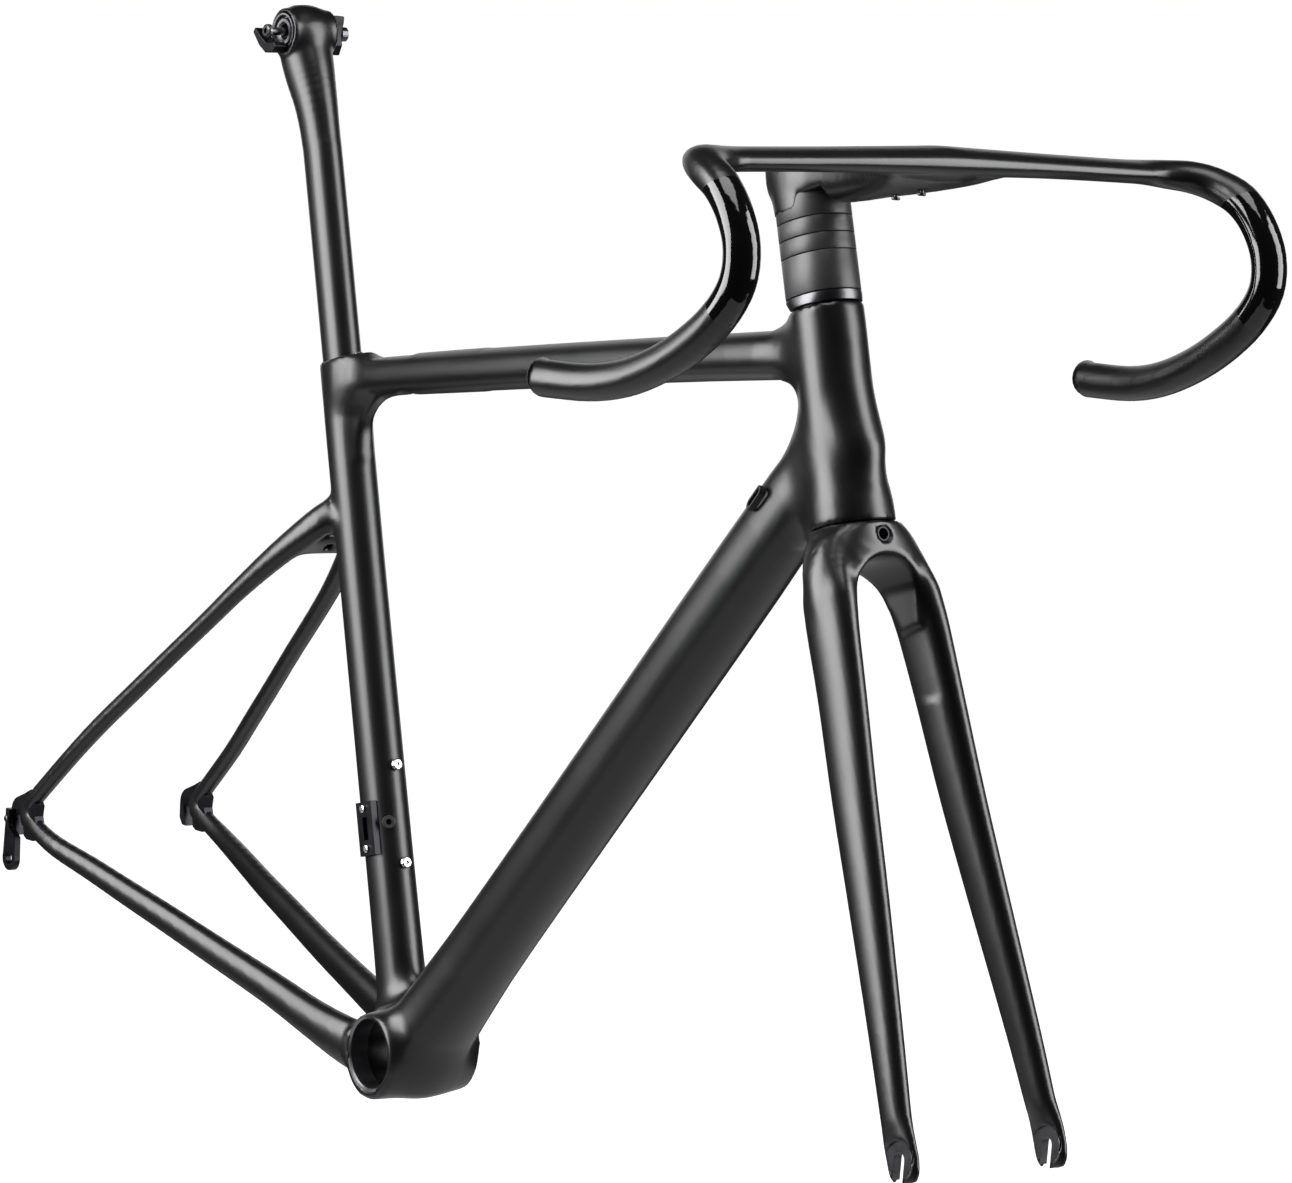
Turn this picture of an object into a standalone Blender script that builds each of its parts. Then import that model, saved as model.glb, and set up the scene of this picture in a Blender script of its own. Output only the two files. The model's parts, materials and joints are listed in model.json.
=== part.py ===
"""Road racing bicycle frameset: frame, fork, one-piece handlebar and stem, and seatpost.

X points forward, Y to the rider's left and Z up. The origin is the centre of the
bottom bracket. Every length below is in millimetres and becomes metres in the meshes.
The frame is one moulding on the real bicycle; here each of its tubes is its own solid.
"""

import math

import bmesh
import bpy
from mathutils import Matrix, Vector

MM = 0.001
GAP = 0.3

# Frame geometry
HEAD_ANGLE = math.radians(71.0)
SEAT_ANGLE = math.radians(72.5)
AXLE_Z = 77.0
REAR_AXLE_X = -400.0
FRONT_AXLE_X = 570.0
FORK_LENGTH = 364.5
FORK_RAKE = 45.0
HEAD_TUBE_LENGTH = 129.4
SEAT_AXIS_X = -6.3

# Standard interfaces
BB_WIDTH = 68.0
BB_BORE_R = 23.0
BB_OUTER_R = 29.5
REAR_SPACING = 130.0
FRONT_SPACING = 100.0
DROPOUT_T = 7.0
STEERER_R = 14.3
STEERER_BORE_R = 11.5
BAR_R = 11.0
BAR_END_HALF_WIDTH = 200.0
RAIL_SPACING = 44.0
RAIL_R = 3.5

# Tube sections: half depth in the frame's plane, half width across it
DOWN_TUBE = (23.8, 21.6)
TOP_TUBE = (14.0, 16.0)
SEAT_TUBE = (17.9, 14.2)
POST = (15.0, 11.3)
STACK = (24.0, 19.3)
TUBE_WALL = 1.6
SEAT_TUBE_TOP = 452.0

FORWARD = Vector((1.0, 0.0, 0.0))
LATERAL = Vector((0.0, 1.0, 0.0))
UP = Vector((0.0, 0.0, 1.0))
HEAD_UP = Vector((-math.cos(HEAD_ANGLE), 0.0, math.sin(HEAD_ANGLE)))
HEAD_FORE = Vector((math.sin(HEAD_ANGLE), 0.0, math.cos(HEAD_ANGLE)))
SEAT_UP = Vector((-math.cos(SEAT_ANGLE), 0.0, math.sin(SEAT_ANGLE)))
SEAT_FORE = Vector((math.sin(SEAT_ANGLE), 0.0, math.cos(SEAT_ANGLE)))
REAR_AXLE = Vector((REAR_AXLE_X, 0.0, AXLE_Z))
FRONT_AXLE = Vector((FRONT_AXLE_X, 0.0, AXLE_Z))
CROWN_SEAT = FRONT_AXLE + FORK_LENGTH * HEAD_UP - FORK_RAKE * HEAD_FORE
SADDLE_PIVOT = Vector((-217.0, 0.0, 640.0))


def head(s, d=0.0, y=0.0):
    """A point s above the crown seat along the steering axis and d in front of it."""
    return CROWN_SEAT + s * HEAD_UP + d * HEAD_FORE + y * LATERAL


def seat(t, d=0.0, y=0.0):
    """A point t up the seat tube's axis from the bottom bracket and d in front of it."""
    return Vector((SEAT_AXIS_X, 0.0, 0.0)) + t * SEAT_UP + d * SEAT_FORE + y * LATERAL


# ---------------------------------------------------------------- scene and materials

def start_scene():
    for obj in list(bpy.data.objects):
        bpy.data.objects.remove(obj, do_unlink=True)
    parts = bpy.data.collections.new("bicycle_frame")
    cutters = bpy.data.collections.new("cutters")
    bpy.context.scene.collection.children.link(parts)
    bpy.context.scene.collection.children.link(cutters)
    return parts, cutters


PARTS, CUTTERS = start_scene()

FINISHES = {
    "carbon_satin": ((0.030, 0.030, 0.032), 0.42, 0.0),
    "carbon_gloss": ((0.008, 0.008, 0.009), 0.08, 0.0),
    "alloy_black": ((0.035, 0.035, 0.038), 0.38, 0.8),
    "alloy_grey": ((0.36, 0.36, 0.37), 0.38, 1.0),
    "steel": ((0.62, 0.62, 0.63), 0.22, 1.0),
    "bearing_steel": ((0.55, 0.55, 0.56), 0.18, 1.0),
    "nylon_black": ((0.020, 0.020, 0.021), 0.50, 0.0),
    "rubber_black": ((0.015, 0.015, 0.015), 0.75, 0.0),
}


def finish_for(node, finish):
    """Each part has its own material, made from one of the shared finishes."""
    colour, roughness, metallic = FINISHES[finish]
    material = bpy.data.materials.new(node + "_" + finish)
    material.use_nodes = True
    shader = material.node_tree.nodes["Principled BSDF"]
    shader.inputs["Base Color"].default_value = (*colour, 1.0)
    shader.inputs["Roughness"].default_value = roughness
    shader.inputs["Metallic"].default_value = metallic
    return material


def add_object(name, mesh, finish=None):
    """A part when it has a finish, and a wire cutter when it has none."""
    obj = bpy.data.objects.new(name, mesh)
    if finish:
        PARTS.objects.link(obj)
        mesh.materials.append(finish_for(name, finish))
        mesh.shade_smooth()
        mesh.set_sharp_from_angle(angle=math.radians(35.0))
    else:
        CUTTERS.objects.link(obj)
        obj.hide_render = True
        obj.display_type = "WIRE"
    return obj


def mesh_from(name, bm):
    bmesh.ops.recalc_face_normals(bm, faces=bm.faces)
    mesh = bpy.data.meshes.new(name)
    bm.to_mesh(mesh)
    bm.free()
    return mesh


def combine(target, operation, *tools):
    for tool in tools:
        modifier = target.modifiers.new(operation.lower(), "BOOLEAN")
        modifier.operation = operation
        modifier.object = tool
        modifier.solver = "EXACT"


def cut(target, *tools):
    combine(target, "DIFFERENCE", *tools)


def drill(target, place, radius, depth):
    """A round hole into a part, from just above the local origin down to depth."""
    name = "%s_drill_%d" % (target.name, len(target.modifiers))
    cut(target, disc(name, radius, -depth, 5.0, place, None, 16))


def axes_matrix(origin, x_axis, y_axis, z_axis):
    """A placement from three unit axes and an origin in millimetres."""
    matrix = Matrix((x_axis, y_axis, z_axis)).transposed().to_4x4()
    matrix.translation = origin * MM
    return matrix


# ---------------------------------------------------------------- shape builders

def section(centre, deep, wide, half_depth, half_width, power=2.0):
    """One closed outline of a loft: a superellipse in the plane of two unit axes."""
    return {"centre": Vector(centre), "deep": Vector(deep).normalized(),
            "wide": Vector(wide).normalized(), "a": half_depth, "b": half_width,
            "power": power}


def ring_points(cut_plane, segments, grow):
    points = []
    for i in range(segments):
        angle = 2.0 * math.pi * (i + 0.5) / segments
        c = math.cos(angle)
        s = math.sin(angle)
        exponent = 2.0 / cut_plane["power"]
        along = math.copysign(abs(c) ** exponent, c) * (cut_plane["a"] + grow)
        across = math.copysign(abs(s) ** exponent, s) * (cut_plane["b"] + grow)
        points.append((cut_plane["centre"] + along * cut_plane["deep"]
                       + across * cut_plane["wide"]) * MM)
    return points


def skin(bm, rings):
    """Side faces between neighbouring rings of vertices."""
    count = len(rings[0])
    for lower, upper in zip(rings, rings[1:]):
        for i in range(count):
            j = (i + 1) % count
            bm.faces.new((lower[i], lower[j], upper[j], upper[i]))


def loft(name, sections, finish=None, segments=24, grow=0.0, wall=0.0):
    """A closed tube through unlike sections, solid or with an open bore of even wall."""
    bm = bmesh.new()
    outer = [[bm.verts.new(p) for p in ring_points(s, segments, grow)] for s in sections]
    skin(bm, outer)
    if wall:
        inner = [[bm.verts.new(p) for p in ring_points(s, segments, -wall)] for s in sections]
        skin(bm, inner)
        skin(bm, (outer[0], inner[0]))
        skin(bm, (outer[-1], inner[-1]))
    else:
        bm.faces.new(outer[0])
        bm.faces.new(outer[-1])
    return add_object(name, mesh_from(name, bm), finish)


def turned(name, profile, matrix, finish=None, steps=32):
    """A turned shape: a profile of (radius, height) pairs swept round the local Z axis.

    A ring's profile is closed, and a solid's runs from the axis round to the axis.
    It goes down the outer side, from top to bottom.
    """
    mesh = bpy.data.meshes.new(name)
    closed = min(r for r, _ in profile) > 0.0
    points = [(r * MM, 0.0, z * MM) for r, z in profile]
    edges = [(i, i + 1) for i in range(len(points) - 1)]
    if closed:
        edges.append((len(points) - 1, 0))
    mesh.from_pydata(points, edges, [])
    obj = add_object(name, mesh, finish)
    obj.matrix_world = matrix
    screw = obj.modifiers.new("screw", "SCREW")
    screw.steps = steps
    screw.render_steps = steps
    screw.use_merge_vertices = True
    screw.merge_threshold = 0.00001
    return obj


def ring(name, inner_r, outer_r, low, high, matrix, finish=None, steps=32):
    profile = [(outer_r, high), (outer_r, low), (inner_r, low), (inner_r, high)]
    return turned(name, profile, matrix, finish, steps)


def disc(name, radius, low, high, matrix, finish=None, steps=32):
    profile = [(0.0, high), (radius, high), (radius, low), (0.0, low)]
    return turned(name, profile, matrix, finish, steps)


def bolt(name, place, head_r, head_h, shank_r, shank_l, socket_r, finish):
    """A button-head screw with a six-sided socket; local +Z points out of its head."""
    rim = 0.35 * head_h
    profile = [(0.0, head_h), (0.72 * head_r, head_h), (0.93 * head_r, head_h - 0.5 * rim),
               (head_r, head_h - 1.4 * rim), (head_r, 0.0), (shank_r, 0.0),
               (shank_r, -shank_l), (0.0, -shank_l)]
    screw = turned(name, profile, place, finish, 18)
    key = bmesh.new()
    bmesh.ops.create_cone(key, cap_ends=True, segments=6, radius1=socket_r * MM,
                          radius2=socket_r * MM, depth=1.2 * head_h * MM,
                          matrix=Matrix.Translation((0.0, 0.0, head_h * MM)))
    socket = add_object(name + "_socket", mesh_from(name + "_socket", key))
    socket.matrix_world = place
    cut(screw, socket)
    return screw


def plate(name, outline, thickness, matrix, finish=None):
    """A flat outline in the local XY plane, extruded evenly to both sides."""
    curve = bpy.data.curves.new(name, "CURVE")
    curve.dimensions = "2D"
    curve.fill_mode = "BOTH"
    curve.extrude = 0.5 * thickness * MM
    spline = curve.splines.new("POLY")
    spline.points.add(len(outline) - 1)
    for point, (x, y) in zip(spline.points, outline):
        point.co = (x * MM, y * MM, 0.0, 1.0)
    spline.use_cyclic_u = True
    source = bpy.data.objects.new(name + "_curve", curve)
    PARTS.objects.link(source)
    depsgraph = bpy.context.evaluated_depsgraph_get()
    mesh = bpy.data.meshes.new_from_object(source.evaluated_get(depsgraph))
    bpy.data.objects.remove(source, do_unlink=True)
    bm = bmesh.new()
    bm.from_mesh(mesh)
    bmesh.ops.remove_doubles(bm, verts=bm.verts, dist=0.000001)
    obj = add_object(name, mesh_from(name, bm), finish)
    obj.matrix_world = matrix
    return obj


def block(name, size, finish=None):
    """A box about the local origin."""
    bm = bmesh.new()
    bmesh.ops.create_cube(bm, size=1.0)
    bmesh.ops.scale(bm, verts=bm.verts, vec=[length * MM for length in size])
    return add_object(name, mesh_from(name, bm), finish)


def arc(cx, cy, radius, start, end, count):
    """Points on an arc, from one angle in degrees to another."""
    points = []
    for i in range(count + 1):
        angle = math.radians(start + (end - start) * i / count)
        points.append((cx + radius * math.cos(angle), cy + radius * math.sin(angle)))
    return points


def through(points, per_span):
    """A smooth curve (Catmull-Rom) through tuples of any length, per_span steps a span."""
    padded = [points[0]] + list(points) + [points[-1]]
    result = []
    for k in range(1, len(padded) - 2):
        p0, p1, p2, p3 = padded[k - 1:k + 3]
        for step in range(per_span):
            t = step / per_span
            result.append(tuple(
                0.5 * (2 * b + (c - a) * t + (2 * a - 5 * b + 4 * c - d) * t * t
                       + (3 * b - a - 3 * c + d) * t ** 3)
                for a, b, c, d in zip(p0, p1, p2, p3)))
    result.append(tuple(points[-1]))
    return result


def sweep(name, rows, deep, finish=None, segments=20, grow=0.0):
    """A loft along a bent run of (x, y, z, half depth, half width) rows.

    The sections turn with the run and never twist about it.
    """
    centres = [Vector(row[:3]) for row in rows]
    sections = []
    for i, centre in enumerate(centres):
        run = centres[min(i + 1, len(rows) - 1)] - centres[max(i - 1, 0)]
        run.normalize()
        deep = (deep - deep.dot(run) * run).normalized()
        sections.append(section(centre, deep, run.cross(deep), rows[i][3], rows[i][4], 2.1))
    return loft(name, sections, finish, segments, grow)


def facing(origin, direction):
    """A placement whose local Z points in a direction."""
    z_axis = direction.normalized()
    side = UP if abs(z_axis.y) > 0.95 else LATERAL
    x_axis = side.cross(z_axis).normalized()
    return axes_matrix(origin, x_axis, z_axis.cross(x_axis), z_axis)


# ---------------------------------------------------------------- frame

HEAD_PLACE = axes_matrix(CROWN_SEAT, HEAD_FORE, LATERAL, HEAD_UP)
BB_PLACE = axes_matrix(Vector(), FORWARD, -UP, LATERAL)


def head_tube_sections():
    rows = ((0.6, 26.0, 23.8), (12.0, 26.0, 23.8), (32.0, 24.0, 22.2), (60.0, 22.8, 21.0),
            (95.0, 22.5, 20.5), (118.0, 22.3, 20.2), (130.0, 22.0, 20.0))
    return [section(head(s, -0.5), HEAD_FORE, LATERAL, a, b, 2.1) for s, a, b in rows]


def build_head_tube():
    tube = loft("head_tube", head_tube_sections(), "carbon_satin", 32)
    top = HEAD_TUBE_LENGTH + 0.6
    bore = [(17.7, top + 5.0), (17.7, top - 8.0), (16.0, top - 8.2), (16.0, 40.0),
            (17.6, 30.0), (17.6, 12.6), (21.6, 12.4), (21.6, -5.0)]
    profile = [(0.0, top + 5.0)] + bore + [(0.0, -5.0)]
    cut(tube, turned("head_bore", profile, HEAD_PLACE, None, 32))


def bb_profile(outer_extra=0.0):
    """The shell's outside: flared at both faces, slimmer between them."""
    half = 0.5 * BB_WIDTH
    waist = BB_OUTER_R - 2.0
    return [(BB_OUTER_R - 1.0 + outer_extra, half + outer_extra),
            (BB_OUTER_R + outer_extra, half - 1.5), (waist + outer_extra, 20.0),
            (waist + outer_extra, -20.0), (BB_OUTER_R + outer_extra, 1.5 - half),
            (BB_OUTER_R - 1.0 + outer_extra, -half - outer_extra)]


def build_bb_shell():
    half = 0.5 * BB_WIDTH
    profile = bb_profile() + [(BB_BORE_R, -half), (BB_BORE_R, half)]
    turned("bb_shell", profile, BB_PLACE, "carbon_satin", 40)


def bb_cutter():
    half = 0.5 * BB_WIDTH + GAP
    profile = [(0.0, half)] + bb_profile(GAP) + [(0.0, -half)]
    return turned("bb_clearance", profile, BB_PLACE, None, 40)


DOWN_DIR = Vector((0.645, 0.0, 0.764)).normalized()
DOWN_NORMAL = Vector((0.764, 0.0, -0.645)).normalized()
DOWN_START = 3.4 * DOWN_NORMAL


def down_tube_sections():
    rows = ((0.0, 20.0, 21.0), (12.0, 24.0, 23.5), (60.0, 24.6, 23.2), (130.0, 23.8, 22.0),
            (300.0, *DOWN_TUBE), (480.0, *DOWN_TUBE), (555.0, 23.8, 20.0), (585.0, 21.0, 15.5),
            (600.0, 17.0, 12.0))
    return [section(DOWN_START + k * DOWN_DIR, DOWN_NORMAL, LATERAL, a, b, 2.4)
            for k, a, b in rows]


TOP_REAR = Vector((-138.0, 0.0, 421.1))
TOP_FRONT = Vector((372.0, 0.0, 504.2))
TOP_DIR = (TOP_FRONT - TOP_REAR).normalized()
TOP_NORMAL = TOP_DIR.cross(LATERAL).normalized()


def top_tube_sections():
    rows = ((0.0, 10.0, 8.0), (0.04, 13.0, 12.0), (0.12, 13.4, 14.0), (0.35, *TOP_TUBE),
            (0.7, 14.0, 17.0), (0.9, 15.5, 17.5), (0.965, 15.0, 14.0), (1.0, 13.0, 10.0))
    length = (TOP_FRONT - TOP_REAR).length
    return [section(TOP_REAR + f * length * TOP_DIR, TOP_NORMAL, LATERAL, a, b, 2.4)
            for f, a, b in rows]


def seat_tube_sections():
    rows = ((10.0, 0.0, 20.0, 16.0), (60.0, 0.0, 19.0, 14.5), (180.0, 0.0, *SEAT_TUBE),
            (390.0, 0.0, *SEAT_TUBE), (425.0, 1.5, 20.0, 14.5),
            (SEAT_TUBE_TOP, 2.5, 20.8, 14.6))
    return [section(seat(t, d), SEAT_FORE, LATERAL, a, b, 2.2) for t, d, a, b in rows]


def build_main_triangle():
    head_solid = loft("head_clearance", head_tube_sections(), None, 32, GAP)
    seat_solid = loft("seat_clearance", seat_tube_sections(), None, 32, GAP)
    down_solid = loft("down_clearance", down_tube_sections(), None, 24, GAP)
    bb_solid = bb_cutter()

    down = loft("down_tube", down_tube_sections(), "carbon_satin", 24, 0.0, TUBE_WALL)
    cut(down, head_solid, bb_solid)

    top = loft("top_tube", top_tube_sections(), "carbon_satin", 24, 0.0, TUBE_WALL)
    cut(top, seat_solid, head_solid, down_solid)

    tube = loft("seat_tube", seat_tube_sections(), "carbon_satin", 32)
    socket = [section(seat(t), SEAT_FORE, LATERAL, POST[0] + GAP, POST[1] + GAP, 2.2)
              for t in (25.0, SEAT_TUBE_TOP + 5.0)]
    cut(tube, loft("post_socket", socket, None, 32), bb_solid, down_solid)
    return {"top_tube": top, "down_tube": down, "seat_tube": tube, "seat_solid": seat_solid,
            "bb_solid": bb_solid, "down_solid": down_solid}


CHAINSTAY = ((-375.0, 68.4, 70.2, 7.2, 5.6), (-353.0, 67.5, 64.2, 7.7, 6.0),
             (-316.0, 62.0, 56.7, 8.6, 6.5), (-275.0, 55.8, 47.7, 9.4, 6.8),
             (-236.0, 50.3, 39.7, 10.1, 7.0), (-174.0, 41.8, 26.5, 11.0, 7.6),
             (-119.0, 35.0, 15.5, 12.0, 8.4), (-75.0, 30.0, 6.0, 13.6, 9.2),
             (-36.0, 26.5, -0.8, 16.5, 9.2))
SEATSTAY = ((-381.0, 68.2, 96.2, 6.2, 5.5), (-346.0, 65.5, 127.6, 6.6, 5.8),
            (-317.0, 61.0, 155.0, 6.8, 5.9), (-285.0, 55.0, 184.0, 6.8, 6.0),
            (-252.0, 48.5, 214.0, 6.8, 6.0), (-217.0, 42.0, 245.6, 7.0, 6.1),
            (-190.0, 36.5, 271.6, 7.7, 6.3), (-160.0, 28.0, 300.0, 9.5, 7.2),
            (-132.0, 17.5, 326.0, 12.5, 8.0), (-116.0, 12.5, 340.0, 15.0, 8.0))


def stay_sections(rows, side):
    """Sections square to a stay's run in the frame's plane; side is -1 for the right."""
    sections = []
    for i, (x, y, z, a, b) in enumerate(rows):
        before = rows[max(i - 1, 0)]
        after = rows[min(i + 1, len(rows) - 1)]
        run = Vector((after[0] - before[0], 0.0, after[2] - before[2])).normalized()
        normal = run.cross(LATERAL)
        sections.append(section((x, side * y, z), normal, LATERAL, a, b, 2.1))
    return sections


BRIDGE_CENTRE = Vector((-146.0, 0.0, 311.0))
BRIDGE_OUT = Vector((-0.70, 0.0, 0.714)).normalized()
BRIDGE_PLACE = axes_matrix(BRIDGE_CENTRE, LATERAL.cross(BRIDGE_OUT), LATERAL, BRIDGE_OUT)


def build_rear_triangle(seat_solid, bb_solid, down_solid):
    """Chainstays, seatstays and the brake bridge between the seatstays."""
    for side, label in ((-1, "right"), (1, "left")):
        lower = loft("chainstay_" + label, stay_sections(CHAINSTAY, side), "carbon_satin", 20)
        cut(lower, bb_solid, seat_solid, down_solid)
        upper = loft("seatstay_" + label, stay_sections(SEATSTAY, side), "carbon_satin", 20)
        cut(upper, seat_solid)

    bridge = block("seatstay_bridge", (34.0, 48.0, 15.0), "carbon_satin")
    bridge.matrix_world = BRIDGE_PLACE
    hole = disc("rear_brake_hole", 3.2, -30.0, 30.0, BRIDGE_PLACE, None, 24)
    stays = [loft("stay_clearance_" + label, stay_sections(SEATSTAY, side), None, 20, GAP)
             for side, label in ((-1, "right"), (1, "left"))]
    cut(bridge, hole, seat_solid, *stays)


SLOT_TILT = 12.0
SLOT_HALF = 5.1
HANGER_EYE = (-2.6, -30.0)


def rear_dropout_outline():
    """The dropout about its axle: local X forward, Y up, the slot open below."""
    tilt = math.radians(SLOT_TILT)
    fore = (math.cos(tilt) * SLOT_HALF, math.sin(tilt) * SLOT_HALF)
    depth = (math.sin(tilt) * 15.0, -math.cos(tilt) * 15.0)
    slot = arc(0.0, 0.0, SLOT_HALF, 180.0 + SLOT_TILT, SLOT_TILT, 10)
    return ([(fore[0] + depth[0], fore[1] + depth[1] + 1.5), (12.0, -14.0), (21.0, -13.5),
             (24.6, -3.0), (21.6, 4.0), (22.4, 11.5), (13.6, 21.6), (6.0, 17.5)]
            + arc(0.0, 2.5, 11.2, 110.0, 190.0, 5)
            + [(-10.4, -9.0), (-6.6, -13.5), (depth[0] - fore[0], depth[1] - fore[1] + 2.0)]
            + slot)


def hanger_outline():
    """The hanger behind and below the axle, ending in the derailleur's round eye."""
    eye = arc(*HANGER_EYE, 8.6, 15.0, -195.0, 12)
    return [(-5.6, 4.0), (-5.4, -8.0), (4.6, -14.0)] + eye + [(-10.4, -8.0), (-10.8, 4.0)]


def side_place(centre, y):
    """A plate's place in the frame's plane, about a point, at a distance from the middle."""
    return axes_matrix(Vector((centre.x, y, centre.z)), FORWARD, UP, -LATERAL)


def build_rear_dropouts():
    """Slotted dropouts, with the derailleur's hanger screwed to the right one."""
    centre_y = 0.5 * (REAR_SPACING + DROPOUT_T)
    for side, label in ((-1, "right"), (1, "left")):
        plate("rear_dropout_" + label, rear_dropout_outline(), DROPOUT_T,
              side_place(REAR_AXLE, side * centre_y), "alloy_black")
    thickness = 4.4
    face_y = -(0.5 * REAR_SPACING + DROPOUT_T + GAP)
    hanger = plate("derailleur_hanger", hanger_outline(), thickness,
                   side_place(REAR_AXLE, face_y - 0.5 * thickness), "alloy_black")
    eye = REAR_AXLE + Vector((HANGER_EYE[0], face_y - thickness, HANGER_EYE[1]))
    cut(hanger, disc("hanger_eye", 4.3, -8.0, 5.0, facing(eye, -LATERAL), None, 24))
    screw = REAR_AXLE + Vector((-8.1, face_y - thickness - GAP, -3.0))
    drill(hanger, facing(screw, -LATERAL), 1.6, 4.0)
    bolt("hanger_bolt", facing(screw, -LATERAL), 2.3, 1.3, 1.3, 3.4, 1.0, "steel")


def build_bottle_bolts(tubes):
    """Cage bolts 64 mm apart, two on the seat tube and two on the down tube."""
    for t, label in ((118.9, "lower"), (182.9, "upper")):
        place = facing(seat(t, SEAT_TUBE[0] + 2 * GAP), SEAT_FORE)
        drill(tubes["seat_tube"], place, 2.3, 2.4)
        bolt("seat_tube_bottle_bolt_" + label, place, 3.9, 2.4, 2.0, 2.0, 1.6, "steel")
    for k, label in ((170.0, "lower"), (234.0, "upper")):
        surface = DOWN_START + k * DOWN_DIR - (DOWN_TUBE[0] + 2 * GAP) * DOWN_NORMAL
        place = facing(surface, -DOWN_NORMAL)
        drill(tubes["down_tube"], place, 2.3, 4.0)
        bolt("down_tube_bottle_bolt_" + label, place, 3.9, 2.4, 2.0, 2.5, 1.6, "steel")


def build_front_derailleur_mount(tubes):
    """A saddle-shaped pad riveted to the right of the seat tube, with a slot for a bolt."""
    pad = block("front_derailleur_mount", (18.0, 7.4, 35.0), "alloy_black")
    pad.matrix_world = axes_matrix(seat(143.5, 1.0, -13.2), SEAT_FORE, LATERAL, SEAT_UP)
    slot = block("mount_slot", (5.2, 30.0, 15.0))
    slot.matrix_world = pad.matrix_world
    cut(pad, tubes["seat_solid"], slot)
    for t, label in ((130.5, "lower"), (156.5, "upper")):
        place = facing(seat(t, 0.5, -16.9 - GAP), -LATERAL)
        drill(pad, place, 1.8, 6.0)
        bolt("front_derailleur_rivet_" + label, place, 2.6, 1.4, 1.5, 2.2, 0.7, "steel")

    outward = (0.79 * SEAT_FORE - 0.61 * LATERAL).normalized()
    place = facing(seat(146.0, 15.9, -8.0) + GAP * outward, outward)
    drill(tubes["seat_tube"], place, 3.0, 1.9)
    profile = [(3.9, 1.2), (4.3, 0.7), (4.3, 0.3), (2.7, 0.3), (2.7, -1.4), (1.9, -1.4),
               (1.9, 1.2)]
    turned("seat_tube_cable_port", profile, place, "nylon_black", 24)


def build_cable_port(tubes):
    """An oblong grommet on the upper right shoulder of the down tube."""
    outward = (-0.42 * DOWN_NORMAL - 0.908 * LATERAL).normalized()
    origin = DOWN_START + 537.0 * DOWN_DIR - 9.5 * DOWN_NORMAL - 20.9 * LATERAL
    side_axis = outward.cross(DOWN_DIR)

    def stadium(length, radius):
        straight = 0.5 * length - radius
        return (arc(straight, 0.0, radius, -90.0, 90.0, 8)
                + arc(-straight, 0.0, radius, 90.0, 270.0, 8))

    place = axes_matrix(origin, DOWN_DIR, side_axis, outward)
    hole = plate("port_hole", stadium(19.4, 4.0), 16.0, place)
    cut(tubes["down_tube"], hole)
    grommet = plate("cable_port_grommet", stadium(18.6, 3.6), 4.0, place, "rubber_black")
    cut(grommet, plate("port_slot", stadium(14.6, 2.0), 12.0, place))


def build_seat_clamp(tubes):
    """A wedge between the post and the tube's front wall, drawn up by a top bolt."""
    pocket = block("wedge_pocket", (6.4, 12.0, 22.0))
    pocket.matrix_world = axes_matrix(seat(435.0, 18.1), SEAT_FORE, LATERAL, SEAT_UP)
    cut(tubes["seat_tube"], pocket)
    wedge = block("seat_clamp_wedge", (4.8, 11.0, 18.0), "alloy_grey")
    wedge.matrix_world = axes_matrix(seat(434.0, 18.4), SEAT_FORE, LATERAL, SEAT_UP)
    place = facing(seat(SEAT_TUBE_TOP + GAP, 19.6), SEAT_UP)
    drill(tubes["seat_tube"], place, 2.1, 7.0)
    bolt("seat_clamp_bolt", place, 3.0, 1.8, 1.8, 6.0, 1.3, "steel")


# ---------------------------------------------------------------- headset and fork

def build_headset():
    """Two sealed cartridge bearings with the crown race and the compression ring."""
    ring("lower_bearing", 17.0, 21.3, 3.5, 12.1, HEAD_PLACE, "bearing_steel")
    ring("crown_race", 16.8, 21.2, 0.3, 3.2, HEAD_PLACE, "steel")
    ring("upper_bearing", 14.6, 17.4, 122.5, 129.3, HEAD_PLACE, "bearing_steel")
    ring("compression_ring", 14.6, 17.1, 129.6, 131.2, HEAD_PLACE, "alloy_grey")


STACK_OFFSET = -2.0
SPACERS = (("spacer_tall", 137.1, 160.3), ("spacer_lower", 160.6, 170.6),
           ("spacer_middle", 170.9, 180.9), ("spacer_upper", 181.2, 186.2))
STEM_BASE = 186.5
STEM_TOP = 218.0
STEERER_TOP = 211.0


def stack_section(s, grow=0.0):
    return section(head(s, STACK_OFFSET), HEAD_FORE, LATERAL, STACK[0] + grow,
                   STACK[1] + grow, 2.3)


def build_stack():
    """The headset cover and the shaped spacers under the stem."""
    steerer_hole = disc("stack_hole", STEERER_R + GAP, 100.0, 240.0, HEAD_PLACE, None, 32)
    base = section(head(130.3, -0.5), HEAD_FORE, LATERAL, 22.0, 20.0, 2.1)
    cover = loft("headset_cover", [base, stack_section(136.8)], "alloy_black", 32)
    cut(cover, steerer_hole, disc("cover_recess", 17.5, 120.0, 131.6, HEAD_PLACE, None, 32))
    for name, low, high in SPACERS:
        spacer = loft(name, [stack_section(low), stack_section(high)], "nylon_black", 32)
        cut(spacer, steerer_hole)


def build_steerer():
    tube = [(STEERER_R, STEERER_TOP), (STEERER_R, 55.0), (16.5, 25.0), (16.5, GAP),
            (STEERER_BORE_R, GAP), (STEERER_BORE_R, STEERER_TOP)]
    turned("fork_steerer", tube, HEAD_PLACE, "carbon_satin", 32)
    ring("expander_plug", 3.4, STEERER_BORE_R - GAP, 165.0, 199.0, HEAD_PLACE, "alloy_grey", 24)


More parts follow.
